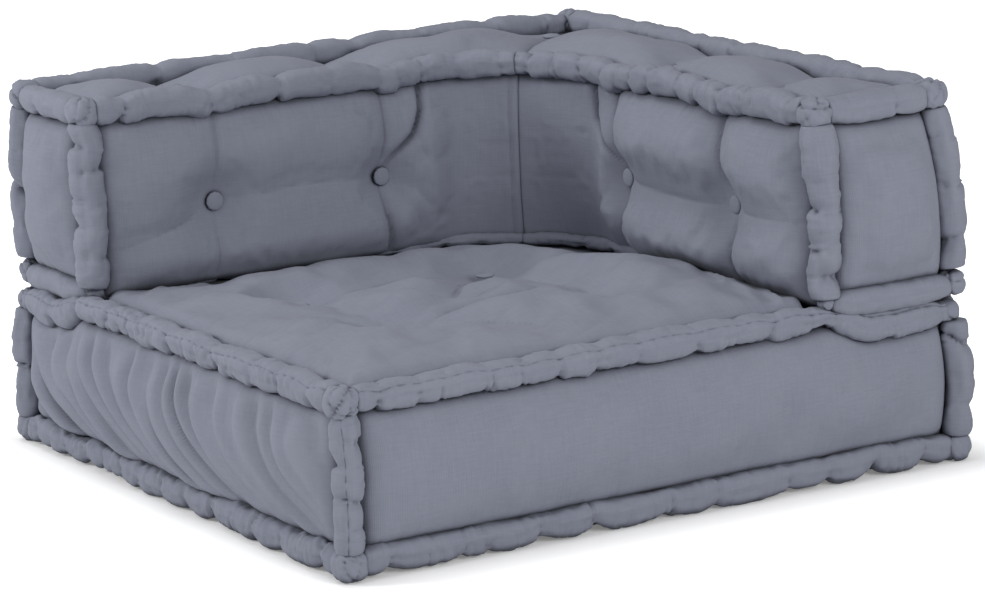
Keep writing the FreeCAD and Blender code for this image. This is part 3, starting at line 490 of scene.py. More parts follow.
def seat_top_height(along, across, width, base):
    """The seat's top: crowned where it is open, flat and pressed down under the back."""
    x, y = base[..., 0], base[..., 1]
    in_corner = (x > ROUND_CENTRE) & (y > ROUND_CENTRE)
    round_part = CORNER_RADIUS - ROLL - np.hypot(x - ROUND_CENTRE, y - ROUND_CENTRE)
    to_back = np.where(in_corner, round_part, LOADED_LINE - np.maximum(x, y))
    to_free = np.minimum(x, y) + EDGE
    to_far = EDGE - np.maximum(x, y)
    edge = seat_edge_height(np.where(in_corner, BACK_INNER - to_back, np.maximum(x, y))) - SEAT_LOADED
    into_corner = np.hypot(x - BACK_INNER, y - BACK_INNER)
    trodden = 0.004 + 0.050 * np.exp(-(into_corner / 0.15) ** 2)
    opened = swell(np.clip(to_back - trodden, 0, 1), 0.080)
    domed = swell(to_free, 0.16) * opened
    # people step and sit into the corner, so that the filling there has sunk
    edge = edge * (1 - np.exp(-(into_corner / 0.19) ** 4))
    edge = edge * (1 - 0.8 * swell(x + EDGE, 0.15) * swell(y + 0.12, 0.17))
    tall = edge - 0.002 + 0.015 * puff(to_free, 0.016) * puff(to_far, 0.016) + 0.020 * domed
    depths = [tuft(x, y, centre, 0.020, 0.060) for centre in SEAT_TUFTS]
    for line, (from_depth, to_depth) in SEAT_VALLEYS:
        depths.append(crease(x, y, line, (from_depth * 2.3, to_depth * 2.3), 0.062, 0.50))
    tall -= together(depths, 0.025) * opened * swell(to_free, 0.09)
    tall += 0.0016 * lumps(x, y, 0.045, 21) * opened * swell(to_free, 0.05)
    fine_valleys = np.abs(lumps(x * 0.9 + y * 0.5, (y - x * 0.5) * 2.0, 0.10, 24))
    tall -= 0.0010 * np.clip(1 - 4 * fine_valleys, 0, 1) * opened
    tall += 0.0006 * lumps(x + y * 0.4, y * 2.2, 0.035, 22) * swell(to_free, 0.03)
    tall -= gathers(y, x + EDGE, 0.012, 0.0030, 0.026, 31) * puff(y + EDGE, 0.02)
    tall -= gathers(x, y + EDGE, 0.018, 0.0012, 0.014, 32) * puff(x + EDGE, 0.02)
    tall -= crease(x, y, [(-0.318, -0.268), (-0.292, -0.240)], (0.006, 0.001), 0.012)
    # folds of the slack cloth that the back's lower edge pushes up
    pushed = np.exp(-((to_back - 0.016) / 0.020) ** 2)
    slack = np.abs(lumps(x - y, to_back * 2.6 + (x + y) * 0.5, 0.050, 23))
    tall += 0.0040 * pushed * (1.3 - 1.9 * slack) * swell(to_free, 0.03)
    return np.where(to_back < -0.002, np.minimum(tall, ROLL - 0.0005), tall)


OUTSIDE = EDGE + TUCK
FRONT_LINE = line_of((-OUTSIDE, -OUTSIDE, SEAT_LOADED), (OUTSIDE, -OUTSIDE, SEAT_LOADED))
REAR_LINE = FRONT_LINE * (1, -1, 1)
cover("seat_top_cover", ["seat_top_panel"], SEAT, FRONT_LINE, REAR_LINE, (0, 0, 1), seat_top_height,
      -EDGE, 0.7)


def seat_bottom_height(along, across, width, base):
    """Flat under the mattress's weight, rounded where it meets the lower edges."""
    inside = np.minimum.reduce([along + EDGE, EDGE - along, across, width - across])
    return 0.0015 + (CORE_LOW.z - 0.0020) * puff(inside, 0.02)


cover("seat_bottom_cover", ["seat_bottom_panel"], SEAT, FRONT_LINE * (1, 1, 0) + (0, 0, CORE_LOW.z),
      REAR_LINE * (1, 1, 0) + (0, 0, CORE_LOW.z), (0, 0, -1), seat_bottom_height, -EDGE, 0.7, give=0)


# folds of the gathered sides: how high they stand, and how far they lean as they fall
SIDE_FOLDS = {"front": (0.0014, 0.0), "left": (0.0190, 0.112), "right": (0.0045, -0.03),
              "rear": (0.0055, 0.04)}


def seat_side_height(side):
    """Height of a side of the seat over its filling: a full barrel with folds that lean as they fall."""
    seed = 40 + len(side)
    rise, leaning = SIDE_FOLDS[side]

    def height(along, across, width, base):
        ends = np.minimum(along + EDGE, EDGE - along)
        rims = np.minimum(across, width - across)
        full = 0.006 if side == "front" else 0.014
        tall = 0.007 + 0.013 * puff(rims, 0.014) * puff(ends, 0.02)
        tall += full * swell(rims, 0.062) * swell(ends, 0.10)
        risen = across / width
        swept = along + leaning * np.clip((0.75 - risen) / 0.75, 0, 1) ** 1.8
        swept += 0.006 * lumps(along, across, 0.06, seed)
        hold = swell(1.0 - risen, 0.25) * swell(across + 0.004, 0.015) * swell(ends, 0.05)
        # rounded folds with sharp valleys between them, over broader ones
        turns = swept / 0.036 + 0.9 * lumps(swept, across * 0.15, 0.060, seed + 1)
        narrow = np.sqrt(np.sin(math.pi * turns) ** 2 + 0.05)
        narrow *= 0.80 + 0.60 * lumps(swept, across * 0.3, 0.034, seed + 4)
        broad = lumps(swept, across * 0.2, 0.042, seed + 2)
        stand = 0.35 + 0.65 * np.exp(-((along - 0.07) / 0.24) ** 2)
        tall += rise * hold * stand * (0.55 * narrow - 0.35 + 0.50 * broad)
        tall += 0.0012 * lumps(along, across * 1.5, 0.07, seed + 20) * puff(rims, 0.03)
        tall -= gathers(along, across, 0.012, 0.0016, 0.014, seed + 30)
        tall -= gathers(along, width - across, 0.013, 0.0020, 0.020, seed + 31)
        tall -= gathers(across, ends, 0.014, 0.0012, 0.012, seed + 32)
        return tall
    return height


ALONG = line_of((-OUTSIDE, 0, 0), (OUTSIDE, 0, 0), step=FINE)[:, 0]
SIDE_FOOT = SEAT_LOW + ROLL - TUCK
SEAT_SIDES = {"front": (0, -1), "left": (-1, 0), "right": (1, 0), "rear": (0, 1)}
for side, (out_x, out_y) in SEAT_SIDES.items():
    level = seat_edge_height(ALONG) if side in ("front", "left") else np.full(len(ALONG), SEAT_LOADED)
    plan = np.stack([ALONG * abs(out_y) + EDGE * out_x, ALONG * abs(out_x) + EDGE * out_y], 1)
    foot = np.column_stack([plan, np.full(len(ALONG), SIDE_FOOT)])
    head = np.column_stack([plan, level - ROLL + TUCK])
    cover(f"seat_side_{side}", [f"seat_border_{side}"], SEAT, foot, head, (out_x, out_y, 0),
          seat_side_height(side), -OUTSIDE, 0.8, FINE)


# Rolled edges of the seat mattress
# The edge of the cover is rolled by hand round a strip of filling and stitched through, so that every
# stitch draws the roll in and the cloth puckers beside it. A fine seam runs along the roll.

def tube(first, rings, sides, flipped=False):
    """Faces between rings of points that follow each other, from a first point on."""
    faces = []
    for ring in range(rings - 1):
        for corner in range(sides):
            here = first + ring * sides + corner
            beside = first + ring * sides + (corner + 1) % sides
            square = (here, beside, beside + sides, here + sides)
            faces.append((here, here + sides, beside + sides, beside) if flipped else square)
    return faces


def fan(tip, first, sides, flipped=False):
    """Faces from a tip to the ring of points that starts at a first point."""
    pairs = [(first + corner, first + (corner + 1) % sides) for corner in range(sides)]
    return [(tip, after, before) if flipped else (tip, before, after) for before, after in pairs]


def rolled(name, nodes, body, path, outward, pinches, seed, seam=None, lean=(0, 0, 0), shape=(1, 1),
           necks=(), squash=None, ruched=0.5, around=0.20, step=0.0022):
    """Rolled edge along a path of points, drawn in at the given distances along it."""
    rng = np.random.default_rng(seed)
    path = np.asarray(path, float)
    run = np.concatenate([[0], np.cumsum(np.linalg.norm(np.diff(path, axis=0), axis=1))])
    count = max(8, round(run[-1] / step))
    places = np.linspace(0, run[-1], count + 1)
    line = np.stack([np.interp(places, run, path[:, axis]) for axis in range(3)], 1)
    outward = np.asarray(outward, float)
    if outward.ndim == 2:
        outward = np.stack([np.interp(places, run, outward[:, axis]) for axis in range(3)], 1)
    heading = np.gradient(line, axis=0)
    heading /= np.linalg.norm(heading, axis=1)[:, None]
    out = np.broadcast_to(outward, line.shape)
    out = out - heading * (out * heading).sum(1)[:, None]
    out /= np.linalg.norm(out, axis=1)[:, None]
    side = np.cross(heading, out)
    below = -math.pi / 2 if side[0, 2] > 0 else math.pi / 2
    angles = np.linspace(0, 2 * math.pi, 32, endpoint=False)
    if seam is not None:
        near = seam + np.array([-0.13, -0.06, 0, 0.06, 0.13])
        apart = np.abs((angles[:, None] - near[None] + math.pi) % (2 * math.pi) - math.pi).min(1)
        angles = np.sort(np.concatenate([angles[apart > 0.08], near % (2 * math.pi)]))
    far, turn = np.meshgrid(places, angles, indexing="ij")
    squared = (np.abs(np.cos(turn)) ** 2.5 + np.abs(np.sin(turn)) ** 2.5) ** (-1 / 2.5)
    radius = ROLL * 1.02 * squared
    radius += 0.0009 * lumps(far, turn * ROLL, 0.020, seed + 1)
    radius += 0.0005 * lumps(far, turn * ROLL, 0.007, seed + 2)
    radius *= 1 + 0.06 * lumps(far, 0.5, 0.045, seed + 3)
    askew = 0.3 * turn * ROLL * lumps(far, 3.0, 0.03, seed + 6)
    pleat = np.abs(lumps(far + askew, turn * 0.004, 0.0075, seed + 7))
    radius -= ruched * 0.0022 * np.clip(1 - 3 * pleat, 0, 1) * (0.6 + 0.4 * lumps(far, 5.0, 0.04, seed + 8))
    shift = np.zeros(len(places))
    upright = abs(heading[0, 2]) > 0.7
    for place in pinches:
        deep = rng.uniform(0.0040, 0.0085)
        toward = below + rng.normal(0, 0.35) + (math.pi if upright and rng.random() < 0.5 else 0)
        held = around + (1 - around) * (0.5 + 0.5 * np.cos(turn - toward)) ** 1.5
        slant = rng.uniform(-0.007, 0.007)
        apart = np.abs(far - place - slant * np.sin(turn + rng.uniform(0, 6)))
        # the cloth falls away steeply on one side of a stitch and slowly on the other
        steep, slow = rng.uniform(0.6, 1.2), rng.uniform(2.2, 4.5)
        if rng.random() < 0.5:
            steep, slow = slow, steep
        one_sided = np.where(far > place, steep, slow)
        radius -= held * deep * (np.exp(-apart / (0.0026 * one_sided)) + 0.22 * np.exp(-(apart / 0.014) ** 2))
        puckers = np.sin(turn * rng.integers(4, 8) + rng.uniform(0, 6))
        radius += 0.0009 * np.exp(-apart / 0.009) * puckers
        shift += deep / 0.004 * np.exp(-((places - place) / 0.014) ** 2)
    ends = np.minimum(far, run[-1] - far)
    radius *= 1 - 0.22 * np.exp(-ends / 0.007)
    for place, share in necks:
        radius *= 1 - share * np.exp(-np.abs(far - place) / 0.009)
    if seam is not None:
        apart = np.abs((turn - seam + math.pi) % (2 * math.pi) - math.pi) * ROLL
        radius -= 0.0015 * np.exp(-(apart / 0.0011) ** 2) * (0.75 + 0.25 * np.sign(np.sin(far / 0.0022)))
    line = line + shift[:, None] * np.asarray(lean, float)
    line = line + out * 0.0012 * lumps(places, 0.1, 0.035, seed + 4)[:, None]
    line = line + side * 0.0010 * lumps(places, 0.7, 0.030, seed + 5)[:, None]
    thick = np.full(len(places), float(shape[1]))
    if squash is not None:
        start, end, share = squash
        inside = np.clip(np.minimum(places - start, end - places) / 0.02, 0, 1)
        thick *= 1 - (1 - share) * np.sin(inside * math.pi / 2)
    skin = line[:, None] + out[:, None] * (np.cos(turn) * radius * shape[0])[..., None]
    skin += side[:, None] * (np.sin(turn) * radius * thick[:, None])[..., None]
    low, high = (SEAT_LOW, SEAT_LOADED) if body == SEAT else (BACK_LOW, BACK_HIGH)
    skin = bowed(skin, low, high)
    if body == SEAT:
        skin[..., 2] = np.maximum(skin[..., 2], 0.0)
    sides = len(angles)
    faces = tube(0, count + 1, sides)
    faces.append(tuple(range(sides))[::-1])
    faces.append(tuple(range(count * sides, (count + 1) * sides)))
    cloth = np.stack([far, turn * ROLL], -1).reshape(-1, 2)
    piece = mesh_piece(name, skin.reshape(-1, 3), faces, body, CANVAS, nodes, cloth)
    return piece


def stitches(length, pitch, seed):
    """Distances of the stitches along an edge whose stitches don't show in any picture."""
    rng = np.random.default_rng(seed)
    places = []
    place = pitch * rng.uniform(0.3, 0.9)
    while place < length - pitch * 0.3:
        places.append(place)
        place += pitch * rng.uniform(0.6, 1.4)
    return places


INTO_KNOT = 0.011            # a roll starts this far from the middle of its knot
TOP_SEAM = math.radians(40)
# stitches of the edges, as distances along x or y from the middle of the mattress
EDGE_STITCHES = {
    "top_front": [-0.300, -0.262, -0.233, -0.190, -0.150, -0.112, -0.075, -0.030, 0.035, 0.080, 0.122, 0.165,
                  0.189, 0.262],
    "top_left": [-0.292, -0.229, -0.180, -0.141, -0.120, -0.098, -0.070, -0.038, -0.007, 0.024, 0.057, 0.076,
                 0.100, 0.122, 0.150, 0.166, 0.189, 0.255],
    "bottom_front": [-0.302, -0.219, -0.198, -0.140, -0.081, -0.004, 0.052, 0.131, 0.180, 0.236, 0.290],
    "bottom_left": [-0.300, -0.222, -0.173, -0.133, -0.080, -0.029, 0.020, 0.074, 0.112, 0.128, 0.150, 0.185,
                    0.234, 0.267, 0.296],
}
# how much an edge is ruched, and how far round it each stitch draws it in, where that isn't usual
EDGE_GATHERS = {("top", "left"): (1.1, 0.20), ("bottom", "left"): (1.6, 0.45)}
REACH = HALF - INTO_KNOT
for side, (out_x, out_y) in SEAT_SIDES.items():
    plan = np.stack([ALONG * abs(out_y), ALONG * abs(out_x)], 1) * (REACH / OUTSIDE)
    plan += np.array([out_x, out_y]) * HALF
    for level in ("top", "bottom"):
        sloping = level == "top" and side in ("front", "left")
        level_height = SEAT_LOADED if level == "top" else SEAT_LOW
        heights = seat_edge_height(ALONG) if sloping else np.full(len(ALONG), level_height)
        known = EDGE_STITCHES.get(f"{level}_{side}")
        seed = 100 + 7 * len(side) + 3 * len(level)
        places = [place + REACH for place in known] if known else stitches(2 * REACH, 0.055, seed)
        lift = (0, 0, -0.0012) if level == "top" else (0, 0, 0.0012)
        path = np.column_stack([plan, heights])
        necks, squash = (), None
        if sloping:
            # the back's end weighs on this stretch, tacked down at both of its ends
            loaded = plan.max(1) - BACK_INNER
            path[:, 2] -= 0.001 * np.sin(np.clip(loaded / (HALF - BACK_INNER), 0, 1) * math.pi)
            necks = [(REACH + BACK_INNER + 0.004, 0.40), (2 * REACH - 0.004, 0.35)]
            squash = (REACH + BACK_INNER + 0.004, 2 * REACH, 1.10)
        seam = None
        if level == "top":
            seam = -TOP_SEAM if side in ("front", "right") else TOP_SEAM
        ruched, around = EDGE_GATHERS.get((level, side), (0.7, 0.20))
        rolled(f"seat_{level}_edge_{side}", [f"seat_{level}_roll_{side}"], SEAT, path, (out_x, out_y, 0),
               places, seed, seam, lift, (0.96, 0.98), necks, squash, ruched, around)


UPRIGHT_STITCHES = {"front_left": [0.022, 0.050, 0.079, 0.106, 0.122], "front_right": [0.030, 0.062, 0.095],
                    "rear_left": [0.028, 0.052, 0.081, 0.104], "rear_right": [0.035, 0.070, 0.098]}
for name, places in UPRIGHT_STITCHES.items():
    x_side = 1 if name.endswith("right") else -1
    y_side = 1 if name.startswith("rear") else -1
    top = SEAT_FREE if name == "front_left" else SEAT_LOADED
    corner = (x_side * HALF, y_side * HALF)
    path = line_of((*corner, SEAT_LOW + INTO_KNOT), (*corner, top - INTO_KNOT))
    rolled(f"seat_upright_edge_{name}", [f"seat_corner_roll_{name}"], SEAT, path, (x_side, y_side, 0),
           places, 140 + len(name), math.radians(8), (x_side * -0.0012, y_side * -0.0012, 0))


# Knots at the corners of the seat mattress
# Where three rolled edges meet, the ends of the cloth are folded over each other like the end of a
# parcel and sewn down, which leaves a firm lump with a few deep folds.

def bowed_knot(centre, body):
    """Middle of a knot, moved as the mattress's sides are."""
    low, high = (SEAT_LOW, SEAT_LOADED) if body == SEAT else (BACK_LOW, BACK_HIGH)
    return bowed(centre, low, high)


def knots(name, node, body, turns, eased):
    """The folded corners of a mattress as one piece of separate lumps; some are smaller or drawn in."""
    points, faces, cloth = [], [], []
    steps, sides = 30, 40
    for number, centre in enumerate(centres(node)):
        rng = np.random.default_rng(turns + number)
        tilts = np.linspace(0, math.pi, steps + 1)[1:-1]
        tilt, turn = np.meshgrid(tilts, np.linspace(0, 2 * math.pi, sides, endpoint=False), indexing="ij")
        ball = np.stack([np.sin(tilt) * np.cos(turn), np.sin(tilt) * np.sin(turn), np.cos(tilt)], -1)
        ball = np.concatenate([[[0, 0, 1.0]], ball.reshape(-1, 3), [[0, 0, -1.0]]])
        share, drawn_in = eased(centre)
        size = ROLL * 1.06 / (np.abs(ball) ** 2.5).sum(1) ** (1 / 2.5)
        size += 0.0009 * lumps(ball[:, 0] * 2 + ball[:, 2], ball[:, 1] * 2 - ball[:, 2], 0.7, turns + number)
        aim = rng.normal(size=3) * 0.5 + (-0.4, -0.7, 0.8)
        aim /= np.linalg.norm(aim)
        first_side = np.cross(aim, (1.0, 0, 0))
        first_side /= np.linalg.norm(first_side)
        second_side = np.cross(aim, first_side)
        around = np.arctan2(ball @ second_side, ball @ first_side)
        off_aim = np.arccos(np.clip(ball @ aim, -1, 1))
        spokes = (1 - np.abs(np.sin(around * 3.5 + rng.uniform(0, 6)))) ** 2
        size -= 0.0016 * spokes * np.exp(-off_aim)
        size -= 0.0022 * np.exp(-off_aim / 0.25)
        for _ in range(3):
            way = rng.normal(size=3)
            way /= np.linalg.norm(way)
            wave = 0.10 * lumps(ball[:, 0] + 3, ball[:, 1] + ball[:, 2] + 3, 0.5, turns + number + 40)
            apart = np.abs(ball @ way - rng.uniform(-0.45, 0.45) + wave)
            size -= rng.uniform(0.0020, 0.0042) * np.exp(-apart / rng.uniform(0.05, 0.11))
        lump = bowed_knot(centre, body) + drawn_in + ball * size[:, None] * share
        lump[:, 2] = np.maximum(lump[:, 2], 0.0)
        first = len(points)
        points.extend(lump)
        cloth.extend(np.stack([ball[:, 0] * ROLL + ball[:, 2] * ROLL, ball[:, 1] * ROLL], -1))
        faces += tube(first + 1, steps - 1, sides, True)
        faces += fan(first, first + 1, sides)
        faces += fan(first + len(ball) - 1, first + 1 + (steps - 2) * sides, sides, True)
    return mesh_piece(name, points, faces, body, CANVAS, [node], cloth)


def seat_knot(centre):
    """The knots that the back weighs on are smaller and drawn in a little."""
    loaded = centre[2] > SEAT_LOADED - 0.01 and max(centre[0], centre[1]) > 0
    inwards = np.array([-0.004 * np.sign(centre[0]), -0.004 * np.sign(centre[1]), -0.003])
    return (0.78, inwards) if loaded else (1, 0)


knots("seat_knots", "seat_corner_knots", SEAT, 200, seat_knot)


# Buttons and twines
# Discs covered with the same cloth, drawn tight over a domed front and gathered under the rim. Waxed
# cotton twine runs through the filling from button to button and is out of sight.

def buttons(name, node, body, outward_of, sunk=0.0):
    """Domed, cloth-covered buttons where the node has its discs."""
    points, faces, cloth = [], [], []
    rings, sides = 12, 36
    for number, centre in enumerate(centres(node)):
        out = np.array(outward_of(centre), float)
        first_side = np.cross(out, (0, 0, 1.0)) if abs(out[2]) < 0.5 else np.array([1.0, 0, 0])
        second_side = np.cross(out, first_side)
        first = len(points)
        profile = [(0.0, 1.0)]
        for ring in range(1, rings + 1):
            share = ring / rings
            profile.append((math.sin(share * math.pi / 2) ** 0.8, math.cos(share * math.pi / 2) ** 0.7))
        profile.append((0.80, -0.55))
        for count, (reach, rise) in enumerate(profile):
            for corner in range(sides if count else 1):
                angle = 2 * math.pi * corner / sides
                pleat = 0.02 * math.sin(angle * 11 + number) * reach ** 6
                round_the_rim = first_side * math.cos(angle) + second_side * math.sin(angle)
                spot = round_the_rim * reach * BUTTON_RADIUS * (1 + pleat)
                points.append(centre + spot + out * (rise * BUTTON_RISE - sunk))
                cloth.append((reach * BUTTON_RADIUS * math.cos(angle),
                              reach * BUTTON_RADIUS * math.sin(angle)))
        faces += fan(first, first + 1, sides)
        faces += tube(first + 1, len(profile) - 1, sides, True)
        last_ring = first + 1 + (len(profile) - 2) * sides
        faces.append(tuple(range(last_ring, last_ring + sides)))
    return mesh_piece(name, points, faces, body, CANVAS, [node], cloth)


BUTTON_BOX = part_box("seat_top_buttons")
BUTTON_RADIUS = 0.0095
BUTTON_RISE = (BUTTON_BOX[1].z - BUTTON_BOX[0].z) / 2 + 0.0005
buttons("seat_buttons_over", "seat_top_buttons", SEAT, lambda centre: (0, 0, 1))
buttons("seat_buttons_under", "seat_bottom_buttons", SEAT, lambda centre: (0, 0, -1))


def waxed_twine():
    """Natural waxed cotton twine: straw-coloured, slightly shiny, with a tight lay."""
    material, tree, shader = new_material("waxed cotton twine")
    place = add(tree, "ShaderNodeTexCoord").outputs["Object"]
    lay = add(tree, "ShaderNodeTexWave", {"Vector": place, "Scale": 1 / 0.004}, bands_direction="DIAGONAL")
    tint = add(tree, "ShaderNodeMix", {"Factor": lay.outputs["Fac"], "A": linear("#8f8268"),
                                       "B": linear("#c9bd9f")}, data_type="RGBA")
    relief = add(tree, "ShaderNodeBump", {"Height": lay.outputs["Fac"], "Strength": 0.5, "Distance": 0.0003})
    tree.links.new(tint.outputs["Result"], shader.inputs["Base Color"])
    tree.links.new(relief.outputs["Normal"], shader.inputs["Normal"])
    shader.inputs["Roughness"].default_value = 0.6
    return material


TWINE = waxed_twine()
for node in ("seat_tufting_twines", "back_tufting_twines"):
    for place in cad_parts[node].material_slots:
        place.material = TWINE


# Covers of the back mattress
# Upright panels of the same canvas. Their buttons are pulled in hard, so that the cloth between the
# buttons and the edges stands out in pillows with sharp creases between them.

FACE_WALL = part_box("back_end_panel_front")[0].x
BACK_CORE_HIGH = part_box("back_core")[1].z
LEAN = HALF - (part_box("back_top_roll_end_front")[1].x + ROLL + (HALF - EDGE - ROLL))
FACE_LOW = BACK_LOW + ROLL - TUCK
FACE_HIGH = BACK_HIGH - ROLL + TUCK
INNER_LOW = BACK_LOW - 0.013  # the pillows hang over the inner lower edge and hide most of it
FACE_BUTTONS = centres("back_face_buttons")
REAR_BUTTONS = sorted((place[0], place[2]) for place in FACE_BUTTONS if place[1] > place[0])
RIGHT_BUTTONS = sorted((place[1], place[2]) for place in FACE_BUTTONS if place[1] < place[0])


def inset(height):
    """How far the outer sides of the back have leaned in at a height."""
    return LEAN * (height - BACK_LOW) / (BACK_HIGH - BACK_LOW)


def arm_lines(low_z, high_z, wall, radius):
    """Lower and upper line of the rear arm's face, from its end to the upright corner seam."""
    lines = []
    for height in (low_z, high_z):
        start = -(EDGE - inset(height)) - TUCK
        straight = np.linspace(start, ROUND_CENTRE, round((ROUND_CENTRE + EDGE) / FINE))
        angles = np.linspace(0, math.pi / 4, round(radius * math.pi / 4 / FINE))[1:]
        turned = ROUND_CENTRE + radius * np.column_stack([np.sin(angles), np.cos(angles)])
        plan = np.concatenate([np.column_stack([straight, np.full(len(straight), wall)]), turned])
        lines.append(np.column_stack([plan, np.full(len(plan), height)]))
    out = np.zeros((len(lines[0]), 3))
    out[:, 1] = -1
    count = len(angles)
    out[-count:, 0] = -np.sin(angles)
    out[-count:, 1] = -np.cos(angles)
    return lines[0], lines[1], out


# creases of the two faces: distance along the arm and height, depth at both ends, reach and sharpness
FACE_CREASES = {
    "rear": [([(-0.187, 0.250), (-0.189, 0.300), (-0.188, 0.342)], (0.012, 0.005), 0.055, 0.35),
             ([(-0.187, 0.250), (-0.189, 0.215), (-0.190, 0.178)], (0.012, 0.006), 0.050, 0.30),
             ([(-0.187, 0.250), (-0.240, 0.232), (-0.318, 0.226)], (0.013, 0.005), 0.060, 0.30),
             ([(-0.187, 0.250), (-0.090, 0.258), (0.005, 0.252)], (0.012, 0.014), 0.065, 0.30),
             ([(-0.187, 0.250), (-0.188, 0.342)], (0.005, 0.003), 0.009, 0.90),
             ([(-0.187, 0.250), (-0.190, 0.178)], (0.004, 0.003), 0.009, 0.90),
             ([(-0.218, 0.238), (-0.318, 0.212)], (0.005, 0.003), 0.016, 0.60),
             ([(0.005, 0.250), (0.010, 0.290), (0.011, 0.342)], (0.018, 0.010), 0.045, 0.75),
             ([(0.005, 0.250), (0.020, 0.272), (0.040, 0.292), (0.053, 0.316), (0.058, 0.345)],
              (0.014, 0.011), 0.011, 1.0),
             ([(0.005, 0.250), (0.006, 0.215), (0.013, 0.176)], (0.013, 0.011), 0.016, 0.95),
             ([(0.005, 0.250), (0.030, 0.225), (0.052, 0.192)], (0.004, 0.001), 0.010, 0.60),
             ([(0.005, 0.250), (0.040, 0.235), (0.072, 0.204)], (0.004, 0.001), 0.012, 0.50)],
    "right": [([(-0.187, 0.250), (-0.176, 0.300), (-0.168, 0.342)], (0.024, 0.018), 0.060, 0.90),
              ([(-0.187, 0.250), (-0.192, 0.215), (-0.200, 0.170)], (0.024, 0.018), 0.060, 0.90),
              ([(-0.187, 0.250), (-0.250, 0.252), (-0.318, 0.250)], (0.014, 0.004), 0.045, 0.45),
              ([(-0.187, 0.250), (-0.090, 0.250), (0.005, 0.252)], (0.017, 0.018), 0.050, 0.45),
              ([(0.005, 0.250), (0.012, 0.290), (0.030, 0.345)], (0.024, 0.017), 0.055, 0.95),
              ([(0.005, 0.250), (0.040, 0.282), (0.066, 0.306), (0.078, 0.345)],
               (0.013, 0.010), 0.011, 1.0),
              ([(0.005, 0.250), (0.001, 0.215), (0.004, 0.170)], (0.024, 0.022), 0.055, 0.95)],
}
# how far a face's pillows stand out, how wide its corner lies flat, its deepest crease, a button's dip
FACE_FORMS = {"rear": (0.022, 0.120, 0.031, 0.030), "right": (0.028, 0.155, 0.032, 0.035)}
# height of the right face's recess beside its inner crease, and where that crease runs
RECESS = ((0.170, 0.215, 0.250, 0.290, 0.345), (0.004, 0.001, 0.005, 0.012, 0.030))


def face_height(side, spots, seed):
    """Height of an arm's face: pillows between creases, and a double seam at the corner."""
    fullness, reach, most, round_button = FACE_FORMS[side]

    def height(along, across, width, base):
        start = along + EDGE
        to_seam = along.max() - along
        # away from the corner the pillows hang over the lower edge
        hanging = 1 + 0.7 * np.clip((to_seam - 0.13) / 0.03, 0, 1)
        rims = np.minimum(across * hanging, width - across)
        level = base[..., 2]
        full = np.interp(to_seam, (0.02, 0.16), (0.020, fullness))
        tall = 0.004 + 0.016 * puff(rims, 0.018) * puff(start, 0.02)
        tall += full * swell(rims, 0.070) * swell(start, 0.07)
        corner = 1 - 0.55 * (0.5 + 0.5 * np.cos(math.pi * np.clip((to_seam - reach + 0.06) / 0.06, 0, 1)))
        tall = 0.004 + (tall - 0.004) * corner
        depths = [tuft(along, level, spot, most - 0.004, round_button) for spot in spots]
        depths += [crease(along, level, *line) for line in FACE_CREASES[side]]
        tall -= together(depths, most) * swell(rims + 0.004, 0.012)
        if side == "right":
            beyond = along - np.interp(level, *RECESS)
            deep = 0.012 * np.clip((0.350 - level) / 0.06, 0.3, 1)
            tall -= np.where(beyond > 0, deep * np.exp(-np.clip(beyond, 0, 1) / 0.055), 0) * swell(rims, 0.02)
        tall += 0.0012 * lumps(along, across * 1.3, 0.06, seed) * swell(to_seam, 0.02)
        tall -= gathers(along, width - across, 0.012, 0.0026, 0.024, seed + 1)
        tall -= gathers(along, across, 0.014, 0.0020, 0.018, seed + 2)
        tall -= gathers(across, start, 0.018, 0.0026, 0.022, seed + 3)
        if side == "rear":
            tall -= 0.0022 * np.exp(-np.abs(to_seam - 0.011) / 0.0018)
        tall -= 0.0016 * np.exp(-to_seam / 0.0018)
        return np.maximum(tall, 0.0015)
    return height


low_line, high_line, out = arm_lines(INNER_LOW, FACE_HIGH, FACE_WALL, FACE_WALL - ROUND_CENTRE)
cover("back_face_cover_rear", ["back_face_panel_rear"], BACK, low_line, high_line, out,
      face_height("rear", REAR_BUTTONS, 300), -EDGE, 0.9, FINE, 0.0015)
SWAP = [1, 0, 2]
cover("back_face_cover_right", ["back_face_panel_right"], BACK, low_line[:, SWAP], high_line[:, SWAP],
      out[:, SWAP], face_height("right", RIGHT_BUTTONS, 310), -EDGE, 0.9, FINE)


def outer_height(spots, seed):
    """Height of an outer side of the back, with its two buttons drawn in."""
    def height(along, across, width, base):
        ends = np.minimum(along + EDGE, EDGE - along)
        rims = np.minimum(across, width - across)
        level = base[..., 2]
        tall = 0.012 + 0.011 * puff(rims, 0.020) * puff(ends, 0.02)
        tall += 0.007 * swell(rims, 0.05) * swell(ends, 0.08)
        depths = [crease(along, level, [spots[0], spots[1]], (0.006, 0.006), 0.05, 0.3)]
        for place, z in spots:
            depths.append(tuft(along, level, (place, z), 0.016, 0.035))
            for end in ((place, FACE_HIGH), (place + 0.004, FACE_LOW)):
                depths.append(crease(along, level, [(place, z), end], (0.010, 0.005), 0.045))
        tall -= together(depths, 0.018) * swell(rims + 0.003, 0.012)
        tall += 0.0014 * lumps(along, across * 1.3, 0.06, seed)
        tall -= gathers(along, width - across, 0.012, 0.0016, 0.016, seed + 1)
        tall -= gathers(along, across, 0.013, 0.0016, 0.016, seed + 2)
        return tall
    return height


